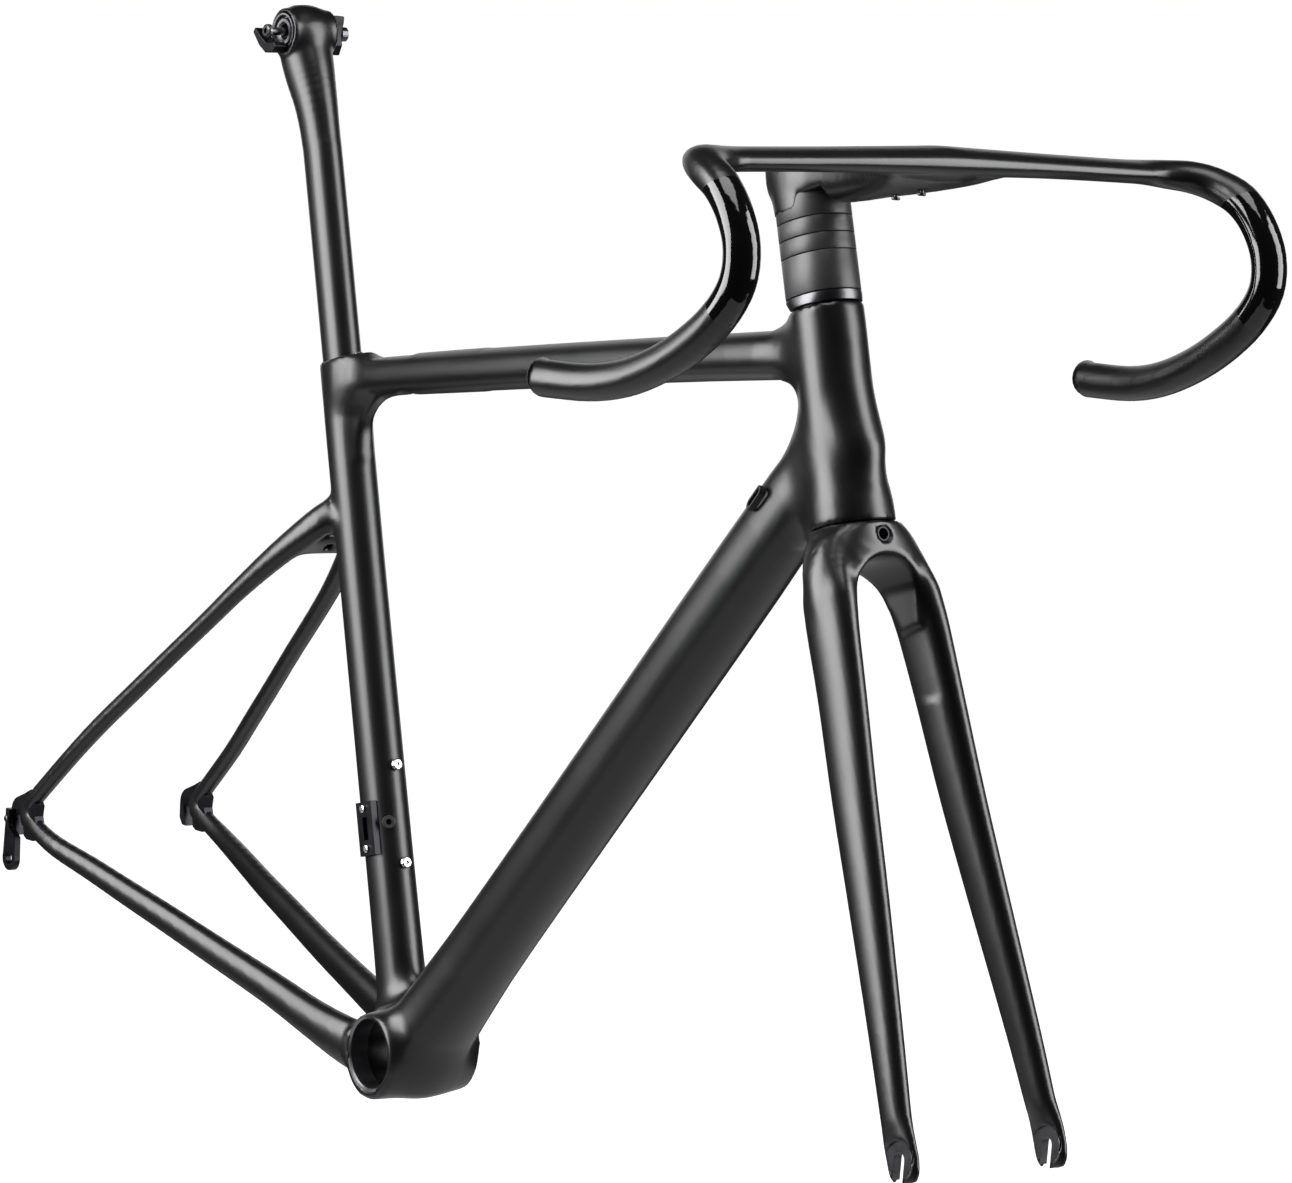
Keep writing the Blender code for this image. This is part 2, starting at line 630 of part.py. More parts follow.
def build_crown():
    rows = ((0.0, -0.5, 26.0, 23.8), (-8.0, 0.5, 27.5, 27.5), (-20.0, 3.0, 26.0, 34.0),
            (-34.0, 7.0, 23.5, 39.0), (-46.0, 10.3, 21.0, 41.0))
    sections = [section(head(s, d), HEAD_FORE, LATERAL, a, b, 2.3) for s, d, a, b in rows]
    crown = loft("fork_crown", sections, "carbon_satin", 32)
    arch = disc("wheel_arch", 20.6, -60.0, 60.0, facing(head(-46.9), HEAD_FORE), None, 32)
    brake = facing(head(-8.0, 28.0), HEAD_FORE)
    profile = [(0.0, 20.0), (4.6, 20.0), (4.6, -10.0), (3.2, -10.0), (3.2, -70.0), (0.0, -70.0)]
    cut(crown, arch, turned("brake_hole", profile, brake, None, 24))


FORK_LEG = ((-46.3, 10.3, 31.0, 20.4, 9.6), (-65.0, 12.4, 32.5, 20.4, 9.5),
            (-101.0, 16.3, 35.5, 19.4, 9.2), (-159.0, 21.5, 39.5, 18.0, 8.8),
            (-216.0, 28.3, 43.5, 16.2, 8.3), (-273.0, 35.0, 47.8, 14.0, 7.6),
            (-309.0, 39.0, 50.5, 12.6, 7.2), (-337.0, 41.6, 52.4, 11.8, 6.8),
            (-345.7, 42.4, 53.0, 11.6, 6.4))


def front_dropout_outline():
    """The fork end about its axle: local X square to the steering axis, Y along it."""
    lean = 90.0 - math.degrees(HEAD_ANGLE)
    half = 4.6
    down = (-math.sin(math.radians(lean)), -math.cos(math.radians(lean)))
    fore = (half * math.cos(math.radians(lean)), -half * math.sin(math.radians(lean)))
    mouth = (13.0 * down[0], 13.0 * down[1])
    return ([(mouth[0] + fore[0], mouth[1] + fore[1])]
            + arc(0.0, 0.0, 13.5, -80.0, 0.0, 5) + [(8.9, 18.4), (-14.1, 18.4)]
            + arc(0.0, 0.0, 13.5, 178.0, 228.0, 3)
            + [(mouth[0] - fore[0], mouth[1] - fore[1])]
            + arc(0.0, 0.0, half, 180.0 - lean, -lean, 10))


def build_fork_legs():
    centre_y = 0.5 * (FRONT_SPACING + DROPOUT_T)
    for side, label in ((-1, "right"), (1, "left")):
        sections = [section(head(s, d, side * y), HEAD_FORE, LATERAL, a, b, 2.2)
                    for s, d, y, a, b in FORK_LEG]
        loft("fork_leg_" + label, sections, "carbon_satin", 24)
        place = axes_matrix(Vector((FRONT_AXLE.x, side * centre_y, FRONT_AXLE.z)),
                            HEAD_FORE, HEAD_UP, -LATERAL)
        plate("fork_dropout_" + label, front_dropout_outline(), DROPOUT_T, place, "alloy_grey")


# ---------------------------------------------------------------- handlebar and stem

BAR_X = 458.0
BAR_Z = 622.0
CROSSBAR_HALF = 135.0
DROP_RUN = ((458.0, 135.3, 622.0, 18.0, 6.8), (458.5, 152.0, 621.7, 17.5, 7.2),
            (463.5, 166.0, 621.0, 15.5, 8.6), (472.0, 177.5, 620.0, 13.4, 9.8),
            (486.0, 184.5, 617.6, 12.0, 10.6), (505.0, 187.0, 611.5, BAR_R, BAR_R),
            (521.0, 187.8, 598.5, BAR_R, BAR_R), (530.5, 188.3, 581.0, BAR_R, BAR_R),
            (529.5, 189.0, 562.0, BAR_R, BAR_R), (516.0, 190.0, 543.0, BAR_R, BAR_R),
            (494.0, 191.3, 525.0, BAR_R, BAR_R), (469.0, 193.0, 510.5, BAR_R, BAR_R),
            (441.0, 195.0, 499.5, BAR_R, BAR_R), (411.0, 197.5, 493.0, BAR_R, BAR_R),
            (370.0, BAR_END_HALF_WIDTH, 489.5, BAR_R, BAR_R))


def crossbar_sections():
    sections = []
    for y, a, b in ((-CROSSBAR_HALF, 18.0, 6.8), (-80.0, 18.0, 7.0), (-35.0, 18.5, 8.0),
                    (0.0, 19.0, 9.0), (35.0, 18.5, 8.0), (80.0, 18.0, 7.0),
                    (CROSSBAR_HALF, 18.0, 6.8)):
        rise = 2.0 * (1.0 - (y / CROSSBAR_HALF) ** 2)
        sections.append(section((BAR_X, y, BAR_Z + rise), FORWARD, UP, a, b, 2.2))
    return sections


def build_handlebar():
    loft("handlebar_crossbar", crossbar_sections(), "carbon_satin", 24)
    end = DROP_RUN[-1]
    before = DROP_RUN[-2]
    for side, label in ((-1, "right"), (1, "left")):
        rows = [(x, side * y, z, a, b) for x, y, z, a, b in through(DROP_RUN, 2)]
        sweep("handlebar_drop_" + label, rows, FORWARD, "carbon_satin", 16)
        run = Vector((end[0] - before[0], side * (end[1] - before[1]), end[2] - before[2]))
        place = facing(Vector((end[0], side * end[1], end[2])) + GAP * run.normalized(), run)
        profile = [(0.0, 3.2), (5.0, 3.0), (8.6, 2.2), (10.4, 0.9), (10.8, 0.0), (0.0, 0.0)]
        turned("bar_end_plug_" + label, profile, place, "nylon_black", 20)


STEM_ARM = ((322.0, 603.0, 13.0, 16.0), (345.0, 605.0, 15.5, 18.5), (375.0, 607.5, 15.5, 19.0),
            (405.0, 611.5, 13.5, 22.0), (428.0, 614.5, 12.5, 28.0), (450.0, 617.5, 10.0, 38.0),
            (464.0, 620.0, 8.0, 42.0))


def build_stem():
    """The clamp column round the steerer with its arm out to the crossbar."""
    column = [stack_section(STEM_BASE), stack_section(STEM_BASE + 10.0, 0.8),
              stack_section(STEM_TOP - 6.0, 2.4), stack_section(STEM_TOP, 0.6)]
    stem = loft("stem", column, "carbon_satin", 32)
    arm_sections = [section((x, 0.0, z), UP, LATERAL, a, b, 2.5) for x, z, a, b in STEM_ARM]
    arm = loft("stem_arm", arm_sections, None, 24)
    combine(stem, "UNION", arm)
    cut(stem, loft("crossbar_clearance", crossbar_sections(), None, 24, GAP),
        disc("stem_bore", STEERER_R + GAP, 150.0, 250.0, HEAD_PLACE, None, 32))
    for s, label in ((194.0, "lower"), (206.0, "upper")):
        rear = STACK_OFFSET - STACK[0] - 0.11 * (s - STEM_BASE) - 0.5
        place = facing(head(s, rear - GAP), -HEAD_FORE)
        drill(stem, place, 1.9, 9.0)
        bolt("stem_clamp_bolt_" + label, place, 3.0, 1.8, 1.6, 8.0, 1.3, "steel")
    for x, z, label in ((421.0, 600.1, "rear"), (444.0, 605.0, "front")):
        place = facing(Vector((x, 0.0, z - GAP)), -UP)
        drill(stem, place, 1.5, 5.0)
        bolt("computer_mount_bolt_" + label, place, 2.6, 1.6, 1.2, 4.6, 1.0, "steel")


def build_top_cap():
    top = STEM_TOP - 0.8
    low = STEERER_TOP + 0.4
    cap = [(0.0, top), (12.6, top), (STEERER_R, top - 0.8), (STEERER_R, low), (0.0, low)]
    cap_disc = turned("stem_top_cap", cap, HEAD_PLACE, "nylon_black", 32)
    place = axes_matrix(head(top + GAP), HEAD_FORE, LATERAL, HEAD_UP)
    cut(cap_disc, disc("cap_hole", 3.3, -10.0, 5.0, place, None, 24))
    bolt("top_cap_bolt", place, 4.6, 2.2, 2.9, 46.0, 2.0, "steel")


# ---------------------------------------------------------------- seatpost and saddle clamp

CLAMP_BORE_R = 12.6
RAIL_RISE = 7.5


def build_seatpost():
    """The post and its head, crossed by the bore that the saddle clamp turns in."""
    rows = ((300.0, 0.0, *POST), (560.0, 0.0, *POST), (600.0, 0.0, 15.2, 11.6),
            (625.0, -1.0, 16.0, 13.2), (645.0, -4.0, 17.3, 15.4), (660.0, -7.0, 17.5, 16.8),
            (674.0, -8.5, 16.8, 17.2), (685.0, -8.5, 12.5, 13.5), (690.5, -8.5, 5.0, 7.0))
    sections = [section(seat(t, d), SEAT_FORE, LATERAL, a, b, 2.2) for t, d, a, b in rows]
    post = loft("seatpost", sections, "carbon_satin", 32)
    across = facing(SADDLE_PIVOT, LATERAL)
    combine(post, "UNION", disc("clamp_barrel", 15.6, -17.3, 17.3, across, None, 32))
    cut(post, disc("clamp_bore", CLAMP_BORE_R, -60.0, 60.0, across, None, 32))


def cradle_outline():
    """The inner jaw seen from the side: a block under the rail."""
    return [(-8.5, -7.0), (8.5, -7.0), (9.5, -5.0), (9.5, 10.5), (8.0, 12.4), (-8.0, 12.4),
            (-9.5, 10.5), (-9.5, -5.0)]


def clamp_outline():
    """The outer jaw seen from the side, with the finger that hooks up behind it."""
    return [(-21.5, -2.5), (-13.0, -10.5), (-5.0, -14.6), (4.0, -13.6), (8.5, -8.0), (8.5, 10.5),
            (7.0, 12.0), (-7.0, 12.0), (-8.5, 10.5), (-8.5, -4.5), (-19.5, 1.0)]


def build_saddle_clamp():
    rail_y = 0.5 * RAIL_SPACING
    bolt_r = 2.6
    along_bolt = facing(SADDLE_PIVOT, -LATERAL)
    for side, label in ((-1, "right"), (1, "left")):
        rail = SADDLE_PIVOT + Vector((0.0, side * rail_y, RAIL_RISE))
        rail_groove = disc("rail_groove_" + label, RAIL_R + GAP, -40.0, 40.0,
                           facing(rail, FORWARD), None, 20)
        bolt_hole = disc("clamp_bolt_hole_" + label, bolt_r + GAP, -50.0, 50.0, along_bolt,
                         None, 16)
        inner_y = side * 19.6
        inner = plate("rail_cradle_" + label, cradle_outline(), 3.6,
                      side_place(SADDLE_PIVOT, inner_y), "alloy_black")
        trunnion = disc("trunnion_" + label, CLAMP_BORE_R - GAP, 1.0, 19.0,
                        facing(SADDLE_PIVOT, side * LATERAL), None, 32)
        combine(inner, "UNION", trunnion)
        cut(inner, rail_groove, bolt_hole)
        outer = plate("rail_clamp_" + label, clamp_outline(), 4.4,
                      side_place(SADDLE_PIVOT, side * 24.8), "alloy_black")
        cut(outer, rail_groove, bolt_hole)
    head_end = SADDLE_PIVOT + Vector((0.0, -27.0 - GAP, 0.0))
    bolt("saddle_clamp_bolt", facing(head_end, -LATERAL), 4.6, 3.4, bolt_r, 60.0, 2.0, "steel")
    nut_start = SADDLE_PIVOT + Vector((0.0, 27.0 + GAP, 0.0))
    ring("saddle_clamp_nut", bolt_r + GAP, 4.8, 0.0, 4.5, facing(nut_start, LATERAL),
         "steel", 24)


# ---------------------------------------------------------------- build

def main():
    build_head_tube()
    build_bb_shell()
    tubes = build_main_triangle()
    build_rear_triangle(tubes["seat_solid"], tubes["bb_solid"], tubes["down_solid"])
    build_rear_dropouts()
    build_bottle_bolts(tubes)
    build_front_derailleur_mount(tubes)
    build_cable_port(tubes)
    build_seat_clamp(tubes)
    build_headset()
    build_stack()
    build_steerer()
    build_crown()
    build_fork_legs()
    build_handlebar()
    build_stem()
    build_top_cap()
    build_seatpost()
    build_saddle_clamp()


main()
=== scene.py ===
"""Looks of a carbon road frameset: smooth carbon mouldings, metal fittings and a plain studio.

The mouldings are meshed from distance fields, so that every tube flows into the next with a
fillet, as laid-up carbon does. X points forward, Y left and Z up, from the bottom bracket.
Lengths are in millimetres until a mesh is made.
"""

import json
import math

import bmesh
import bpy
import numpy as np
import openvdb
from mathutils import Matrix, Vector


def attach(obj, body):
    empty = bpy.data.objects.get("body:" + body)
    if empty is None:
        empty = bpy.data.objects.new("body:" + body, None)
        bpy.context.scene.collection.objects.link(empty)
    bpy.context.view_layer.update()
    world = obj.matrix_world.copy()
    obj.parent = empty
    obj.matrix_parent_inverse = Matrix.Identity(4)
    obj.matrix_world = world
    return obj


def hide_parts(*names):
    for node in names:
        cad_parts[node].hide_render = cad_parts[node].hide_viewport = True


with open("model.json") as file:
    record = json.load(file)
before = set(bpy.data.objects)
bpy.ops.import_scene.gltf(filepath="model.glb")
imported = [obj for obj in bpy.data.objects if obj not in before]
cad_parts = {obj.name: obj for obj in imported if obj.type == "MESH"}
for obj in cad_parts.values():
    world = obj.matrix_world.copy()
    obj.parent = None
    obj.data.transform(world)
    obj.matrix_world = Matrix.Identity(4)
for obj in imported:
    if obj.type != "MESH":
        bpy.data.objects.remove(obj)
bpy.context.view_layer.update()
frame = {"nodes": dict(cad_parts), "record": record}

MM = 0.001
HEAD_ANGLE = math.radians(71.0)
SEAT_ANGLE = math.radians(72.5)
FAR = 30.0
OVERRUN = 2.0
SIDE_FADE = 20.0

FORWARD = np.array((1.0, 0.0, 0.0))
LATERAL = np.array((0.0, 1.0, 0.0))
UP = np.array((0.0, 0.0, 1.0))
HEAD_UP = np.array((-math.cos(HEAD_ANGLE), 0.0, math.sin(HEAD_ANGLE)))
HEAD_FORE = np.array((math.sin(HEAD_ANGLE), 0.0, math.cos(HEAD_ANGLE)))
SEAT_UP = np.array((-math.cos(SEAT_ANGLE), 0.0, math.sin(SEAT_ANGLE)))
SEAT_FORE = np.array((math.sin(SEAT_ANGLE), 0.0, math.cos(SEAT_ANGLE)))
JOINTS = {joint["name"]: joint for joint in frame["record"]["behaviour"]["joints"]}
CROWN_SEAT = np.array(JOINTS["steering"]["pos_m"]) / MM
SADDLE_PIVOT = np.array(JOINTS["saddle_tilt"]["pos_m"]) / MM
FRONT_AXLE = CROWN_SEAT - 364.5 * HEAD_UP + 45.0 * HEAD_FORE


def head(s, d=0.0, y=0.0):
    """A point s above the crown along the steering axis and d in front of it."""
    return CROWN_SEAT + s * HEAD_UP + d * HEAD_FORE + y * LATERAL


def seat(t, d=0.0, y=0.0):
    """A point t up the seat tube's axis and d in front of it."""
    return np.array((-6.3, 0.0, 0.0)) + t * SEAT_UP + d * SEAT_FORE + y * LATERAL


def unit(vector):
    """A vector of the same direction and length 1."""
    vector = np.asarray(vector, dtype=float)
    return vector / np.linalg.norm(vector)


def through(rows, per_span):
    """A smooth Catmull-Rom run through rows of numbers."""
    rows = [np.asarray(row, dtype=float) for row in rows]
    padded = [2 * rows[0] - rows[1]] + rows + [2 * rows[-1] - rows[-2]]
    out = []
    for k in range(1, len(padded) - 2):
        a, b, c, d = padded[k - 1:k + 3]
        for step in range(per_span):
            t = step / per_span
            out.append(0.5 * (2 * b + (c - a) * t + (2 * a - 5 * b + 4 * c - d) * t * t
                              + (3 * b - a - 3 * c + d) * t ** 3))
    out.append(rows[-1])
    return out


# ---------------------------------------------------------------- distance fields

class Field:
    """A block of space that holds the distance to the moulding being built."""

    def __init__(self, low, high, step):
        self.step = step
        self.low = np.asarray(low, dtype=float)
        counts = np.ceil((np.asarray(high) - self.low) / step).astype(int) + 1
        self.axes = [(self.low[i] + step * np.arange(counts[i])).astype(np.float32)
                     for i in range(3)]
        self.values = np.full(counts, FAR, dtype=np.float32)

    def window(self, low, high):
        """Slices of the voxels between two corners."""
        first = np.floor((np.asarray(low) - self.low) / self.step).astype(int)
        last = np.ceil((np.asarray(high) - self.low) / self.step).astype(int) + 1
        return tuple(slice(max(a, 0), max(min(b, n), 0))
                     for a, b, n in zip(first, last, self.values.shape))

    def grid(self, window):
        x, y, z = (axis[part] for axis, part in zip(self.axes, window))
        return x[:, None, None], y[None, :, None], z[None, None, :]

    def dot(self, window, origin, direction):
        """(p - origin) . direction over a window."""
        x, y, z = self.grid(window)
        return ((x - origin[0]) * direction[0] + (y - origin[1]) * direction[1]
                + (z - origin[2]) * direction[2])

    def join(self, window, distance, fillet, fade=0.75):
        """Adds a shape, with a fillet of about that size where it meets the rest.

        The fillet fades towards the sides, so that it doesn't fatten a tube it runs along.
        """
        here = self.values[window]
        if fillet:
            side = np.clip(np.abs(self.grid(window)[1]) / SIDE_FADE, 0.0, 1.0)
            fillet = fillet * (1.0 - fade * side * side) + 0.0 * here
            blend = np.maximum(fillet - np.abs(here - distance), 0.0) / fillet
            self.values[window] = np.minimum(here, distance) - blend ** 2 * (0.25 * fillet)
        else:
            self.values[window] = np.minimum(here, distance)

    def carve(self, window, distance, fillet=0.0):
        """Takes a shape away."""
        here = self.values[window]
        if fillet:
            blend = np.maximum(fillet - np.abs(here + distance), 0.0) / fillet
            self.values[window] = np.maximum(here, -distance) + blend ** 2 * (0.25 * fillet)
        else:
            self.values[window] = np.maximum(here, -distance)

    def everywhere(self):
        """All the voxels."""
        return tuple(slice(0, n) for n in self.values.shape)


def add_tube(field, stations, fillet, power=2.2, reach=14.0, carve=False):
    """A tube through (centre, deep, wide, half depth, half width) stations."""
    corners = [s[0] for s in stations]
    margin = max(max(s[3], s[4]) for s in stations) + reach
    window = field.window(np.min(corners, axis=0) - margin, np.max(corners, axis=0) + margin)
    shape = tuple(part.stop - part.start for part in window)
    tube = np.full(shape, FAR, dtype=np.float32)
    for first, second in zip(stations, stations[1:]):
        c0, c1 = first[0], second[0]
        length = np.linalg.norm(c1 - c0)
        run = (c1 - c0) / length
        deep = unit(0.5 * (first[1] + second[1]))
        deep = unit(deep - deep.dot(run) * run)
        wide = np.cross(run, deep)
        size = max(first[3], first[4], second[3], second[4]) + reach
        part = field.window(np.minimum(c0, c1) - size, np.maximum(c0, c1) + size)
        along = field.dot(part, c0, run)
        within = np.clip(along, 0.0, length)
        past = np.maximum(np.abs(along - within) - OVERRUN, 0.0)
        t = within / length
        x = field.dot(part, c0, deep)
        y = field.dot(part, c0, wide)
        a = first[3] + (second[3] - first[3]) * t
        b = first[4] + (second[4] - first[4]) * t
        ring = superellipse(x, y, a, b, power)
        distance = np.where(past == 0.0, ring, np.hypot(np.maximum(ring, 0.0), past))
        local = tuple(slice(p.start - w.start, p.stop - w.start) for p, w in zip(part, window))
        tube[local] = np.minimum(tube[local], distance)
    if carve:
        field.carve(window, tube, fillet)
    else:
        field.join(window, tube, fillet)


def superellipse(x, y, a, b, power):
    """Distance from a superellipse, close to exact near its edge."""
    u = np.abs(x) / a
    v = np.abs(y) / b
    f = np.maximum((u ** power + v ** power) ** (1.0 / power), 0.02)
    slope = f ** (1.0 - power) * np.sqrt((u ** (power - 1.0) / a) ** 2
                                         + (v ** (power - 1.0) / b) ** 2)
    return (f - 1.0) / np.maximum(slope, 0.2 / np.maximum(a, b))


def plane_cut(field, origin, outward, reach):
    """Takes away what lies past a plane, within a cube about the origin."""
    window = field.window(origin - reach, origin + reach)
    field.carve(window, -field.dot(window, origin, outward))


def cylinder_distance(field, window, origin, axis, radius):
    """Distance from an endless cylinder."""
    along = field.dot(window, origin, axis)
    x, y, z = field.grid(window)
    square = (x - origin[0]) ** 2 + (y - origin[1]) ** 2 + (z - origin[2]) ** 2
    return np.sqrt(np.maximum(square - along ** 2, 0.0)) - radius


def bore(field, origin, axis, radius, low, high):
    """A round hole between two distances along an axis."""
    window = field.everywhere()
    along = field.dot(window, origin, axis)
    distance = cylinder_distance(field, window, origin, axis, radius)
    ends = np.maximum(low - along, along - high)
    field.carve(window, np.maximum(distance, ends))


def mesh_field(name, field, smoothing, material, body, node_names):
    """Meshes a field's surface and puts it in place of its CAD nodes."""
    limit = 4.0 * field.step
    grid = openvdb.FloatGrid(limit)
    grid.copyFromArray(np.clip(field.values, -limit, limit))
    points, quads = grid.convertToQuads(0.0)
    points = (points * field.step + field.low) * MM
    mesh = bpy.data.meshes.new(name)
    mesh.vertices.add(len(points))
    mesh.vertices.foreach_set("co", points.astype(np.float32).ravel())
    mesh.loops.add(4 * len(quads))
    mesh.loops.foreach_set("vertex_index", quads[:, ::-1].astype(np.int32).ravel())
    mesh.polygons.add(len(quads))
    mesh.polygons.foreach_set("loop_start", np.arange(0, 4 * len(quads), 4, dtype=np.int32))
    mesh.update(calc_edges=True)
    mesh.validate()
    mesh.shade_smooth()
    obj = bpy.data.objects.new(name, mesh)
    bpy.context.scene.collection.objects.link(obj)
    mesh.materials.append(material)
    smooth = obj.modifiers.new("smooth", "SMOOTH")
    smooth.factor = 0.5
    smooth.iterations = smoothing
    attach(obj, body)
    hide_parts(*node_names)
    return obj


# ---------------------------------------------------------------- small pieces

def frame_of(origin, x_axis, y_axis):
    """A place whose local X and Y are the two directions given."""
    x_axis = unit(x_axis)
    z_axis = unit(np.cross(x_axis, y_axis))
    y_axis = np.cross(z_axis, x_axis)
    return np.array(origin, dtype=float), x_axis, y_axis, z_axis


def arc(radius, start, end, count):
    """Points on an arc about the origin, between two angles in degrees."""
    angles = np.radians(np.linspace(start, end, count))
    return [(radius * math.cos(a), radius * math.sin(a)) for a in angles]


def finish_piece(name, bm, material, body, node_names, bevel=0.0):
    """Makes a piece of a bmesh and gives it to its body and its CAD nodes."""
    bmesh.ops.recalc_face_normals(bm, faces=bm.faces)
    mesh = bpy.data.meshes.new(name)
    bm.to_mesh(mesh)
    bm.free()
    mesh.materials.append(material)
    mesh.shade_smooth()
    mesh.set_sharp_from_angle(angle=math.radians(35.0))
    obj = bpy.data.objects.new(name, mesh)
    bpy.context.scene.collection.objects.link(obj)
    if bevel:
        edge = obj.modifiers.new("bevel", "BEVEL")
        edge.width = bevel * MM
        edge.segments = 3
        edge.limit_method = "ANGLE"
        edge.angle_limit = math.radians(35.0)
        edge.harden_normals = True
    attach(obj, body)
    if node_names:
        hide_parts(*node_names)
    return obj


def slab(name, outline, thickness, place, material, body, node_names, bevel=0.35):
    """A flat piece of one outline, centred on its place."""
    origin, x_axis, y_axis, z_axis = place
    bm = bmesh.new()
    layers = []
    for depth in (-0.5 * thickness, 0.5 * thickness):
        layers.append([bm.verts.new((origin + x * x_axis + y * y_axis + depth * z_axis) * MM)
                       for x, y in outline])
    bm.faces.new(layers[0])
    bm.faces.new(layers[1])
    count = len(outline)
    for i in range(count):
        j = (i + 1) % count
        bm.faces.new((layers[0][i], layers[0][j], layers[1][j], layers[1][i]))
    return finish_piece(name, bm, material, body, node_names, bevel)


def lathe(name, profile, place, material, body, node_names, steps=96, closed=True):
    """A turned piece: (radius, height) pairs round the place's Z axis."""
    origin, x_axis, y_axis, z_axis = place
    bm = bmesh.new()
    rings = []
    for radius, height in profile:
        if radius < 1e-6:
            rings.append([bm.verts.new((origin + height * z_axis) * MM)])
            continue
        rings.append([bm.verts.new((origin + height * z_axis + radius * math.cos(a) * x_axis
                                    + radius * math.sin(a) * y_axis) * MM)
                      for a in np.linspace(0.0, 2.0 * math.pi, steps, endpoint=False)])
    pairs = list(zip(rings, rings[1:]))
    if closed:
        pairs.append((rings[-1], rings[0]))
    for first, second in pairs:
        if len(first) == 1 and len(second) == 1:
            continue
        for i in range(steps):
            j = (i + 1) % steps
            corners = []
            for corner in (first[i % len(first)], first[j % len(first)],
                           second[j % len(second)], second[i % len(second)]):
                if corner not in corners:
                    corners.append(corner)
            bm.faces.new(corners)
    return finish_piece(name, bm, material, body, node_names)


def sleeve(name, rows, inner, material, node_names, steps=128):
    """A shaped ring round the steerer through (s, offset, half depth, half width) rows."""
    bm = bmesh.new()
    rings = []
    angles = np.linspace(0.0, 2.0 * math.pi, steps, endpoint=False)
    for s, d, a, b in rows:
        ring = []
        for t in angles:
            c, n = math.cos(t), math.sin(t)
            r = (abs(c / a) ** 2.3 + abs(n / b) ** 2.3) ** (-1.0 / 2.3)
            ring.append(bm.verts.new(head(s, d + r * c, r * n) * MM))
        rings.append(ring)
    for s in (rows[-1][0], rows[0][0]):
        rings.append([bm.verts.new(head(s, inner * math.cos(t), inner * math.sin(t)) * MM)
                      for t in angles])
    for first, second in zip(rings, rings[1:] + rings[:1]):
        for i in range(steps):
            j = (i + 1) % steps
            bm.faces.new((first[i], first[j], second[j], second[i]))
    return finish_piece(name, bm, material, "steering", node_names)


# ---------------------------------------------------------------- materials

CARBON_DARK = (0.0020, 0.0020, 0.0021)
CARBON_LIGHT = (0.0062, 0.0062, 0.0064)
SATIN = (0.28, 0.36)
LACQUER = (0.002, 0.002, 0.002)
LACQUER_ROUGHNESS = 0.07


def new_material(name):
    """A node material with the parts that the others build on."""
    material = bpy.data.materials.new(name)
    material.use_nodes = True
    nodes = material.node_tree.nodes
    return material, nodes, material.node_tree.links, nodes["Principled BSDF"]


def ramp(nodes, links, source, low, high):
    """Maps a 0..1 noise onto two values."""
    node = nodes.new("ShaderNodeMapRange")
    node.inputs["To Min"].default_value = low
    node.inputs["To Max"].default_value = high
    links.new(source, node.inputs["Value"])
    return node.outputs["Result"]


def noise(nodes, links, coordinates, scale, detail=3.0):
    """A 0..1 noise."""
    node = nodes.new("ShaderNodeTexNoise")
    node.inputs["Scale"].default_value = scale
    node.inputs["Detail"].default_value = detail
    links.new(coordinates, node.inputs["Vector"])
    return node.outputs["Fac"]


def two_colours(nodes, links, factor, first, second):
    """Mixes two colours."""
    node = nodes.new("ShaderNodeMix")
    node.data_type = "RGBA"
    node.inputs["A"].default_value = (*first, 1.0)
    node.inputs["B"].default_value = (*second, 1.0)
    links.new(factor, node.inputs["Factor"])
    return node.outputs["Result"]


def add_bump(nodes, links, shader, height, strength, distance):
    """Roughens a surface by a noise."""
    bump = nodes.new("ShaderNodeBump")
    bump.inputs["Strength"].default_value = strength
    bump.inputs["Distance"].default_value = distance
    links.new(height, bump.inputs["Height"])
    links.new(bump.outputs["Normal"], shader.inputs["Normal"])


def carbon(name):
    """Unidirectional carbon under a clear coat: faint fibre streaks and a fine grain."""
    material, nodes, links, shader = new_material(name)
    place = nodes.new("ShaderNodeTexCoord").outputs["Object"]
    stretch = nodes.new("ShaderNodeMapping")
    stretch.inputs["Rotation"].default_value = (0.0, math.radians(40.0), 0.0)
    stretch.inputs["Scale"].default_value = (1.0, 1.0, 0.06)
    links.new(place, stretch.inputs["Vector"])
    fibres = noise(nodes, links, stretch.outputs["Vector"], 900.0, 2.0)
    clouds = noise(nodes, links, place, 24.0, 4.0)
    mixed = nodes.new("ShaderNodeMath")
    mixed.operation = "MULTIPLY"
    links.new(fibres, mixed.inputs[0])
    links.new(clouds, mixed.inputs[1])
    colour = two_colours(nodes, links, mixed.outputs["Value"], CARBON_DARK, CARBON_LIGHT)
    links.new(colour, shader.inputs["Base Color"])
    links.new(ramp(nodes, links, clouds, *SATIN), shader.inputs["Roughness"])
    shader.inputs["IOR"].default_value = 1.5
    grain = noise(nodes, links, place, 2600.0, 1.0)
    add_bump(nodes, links, shader, grain, 0.06, 0.0002)
    return material


def metal(name, colour, rough, worn=0.25):
    """Machined or anodised metal with fine turning marks and uneven polish."""
    material, nodes, links, shader = new_material(name)
    place = nodes.new("ShaderNodeTexCoord").outputs["Object"]
    marks = noise(nodes, links, place, 1400.0, 2.0)
    patches = noise(nodes, links, place, 90.0, 4.0)
    brighter = tuple(min(1.0, v * (1.0 + worn)) for v in colour)
    duller = tuple(v * (1.0 - worn) for v in colour)
    links.new(two_colours(nodes, links, patches, duller, brighter), shader.inputs["Base Color"])
    links.new(ramp(nodes, links, patches, rough - 0.08, rough + 0.08), shader.inputs["Roughness"])
    shader.inputs["Metallic"].default_value = 1.0
    add_bump(nodes, links, shader, marks, 0.08, 0.0002)
    return material


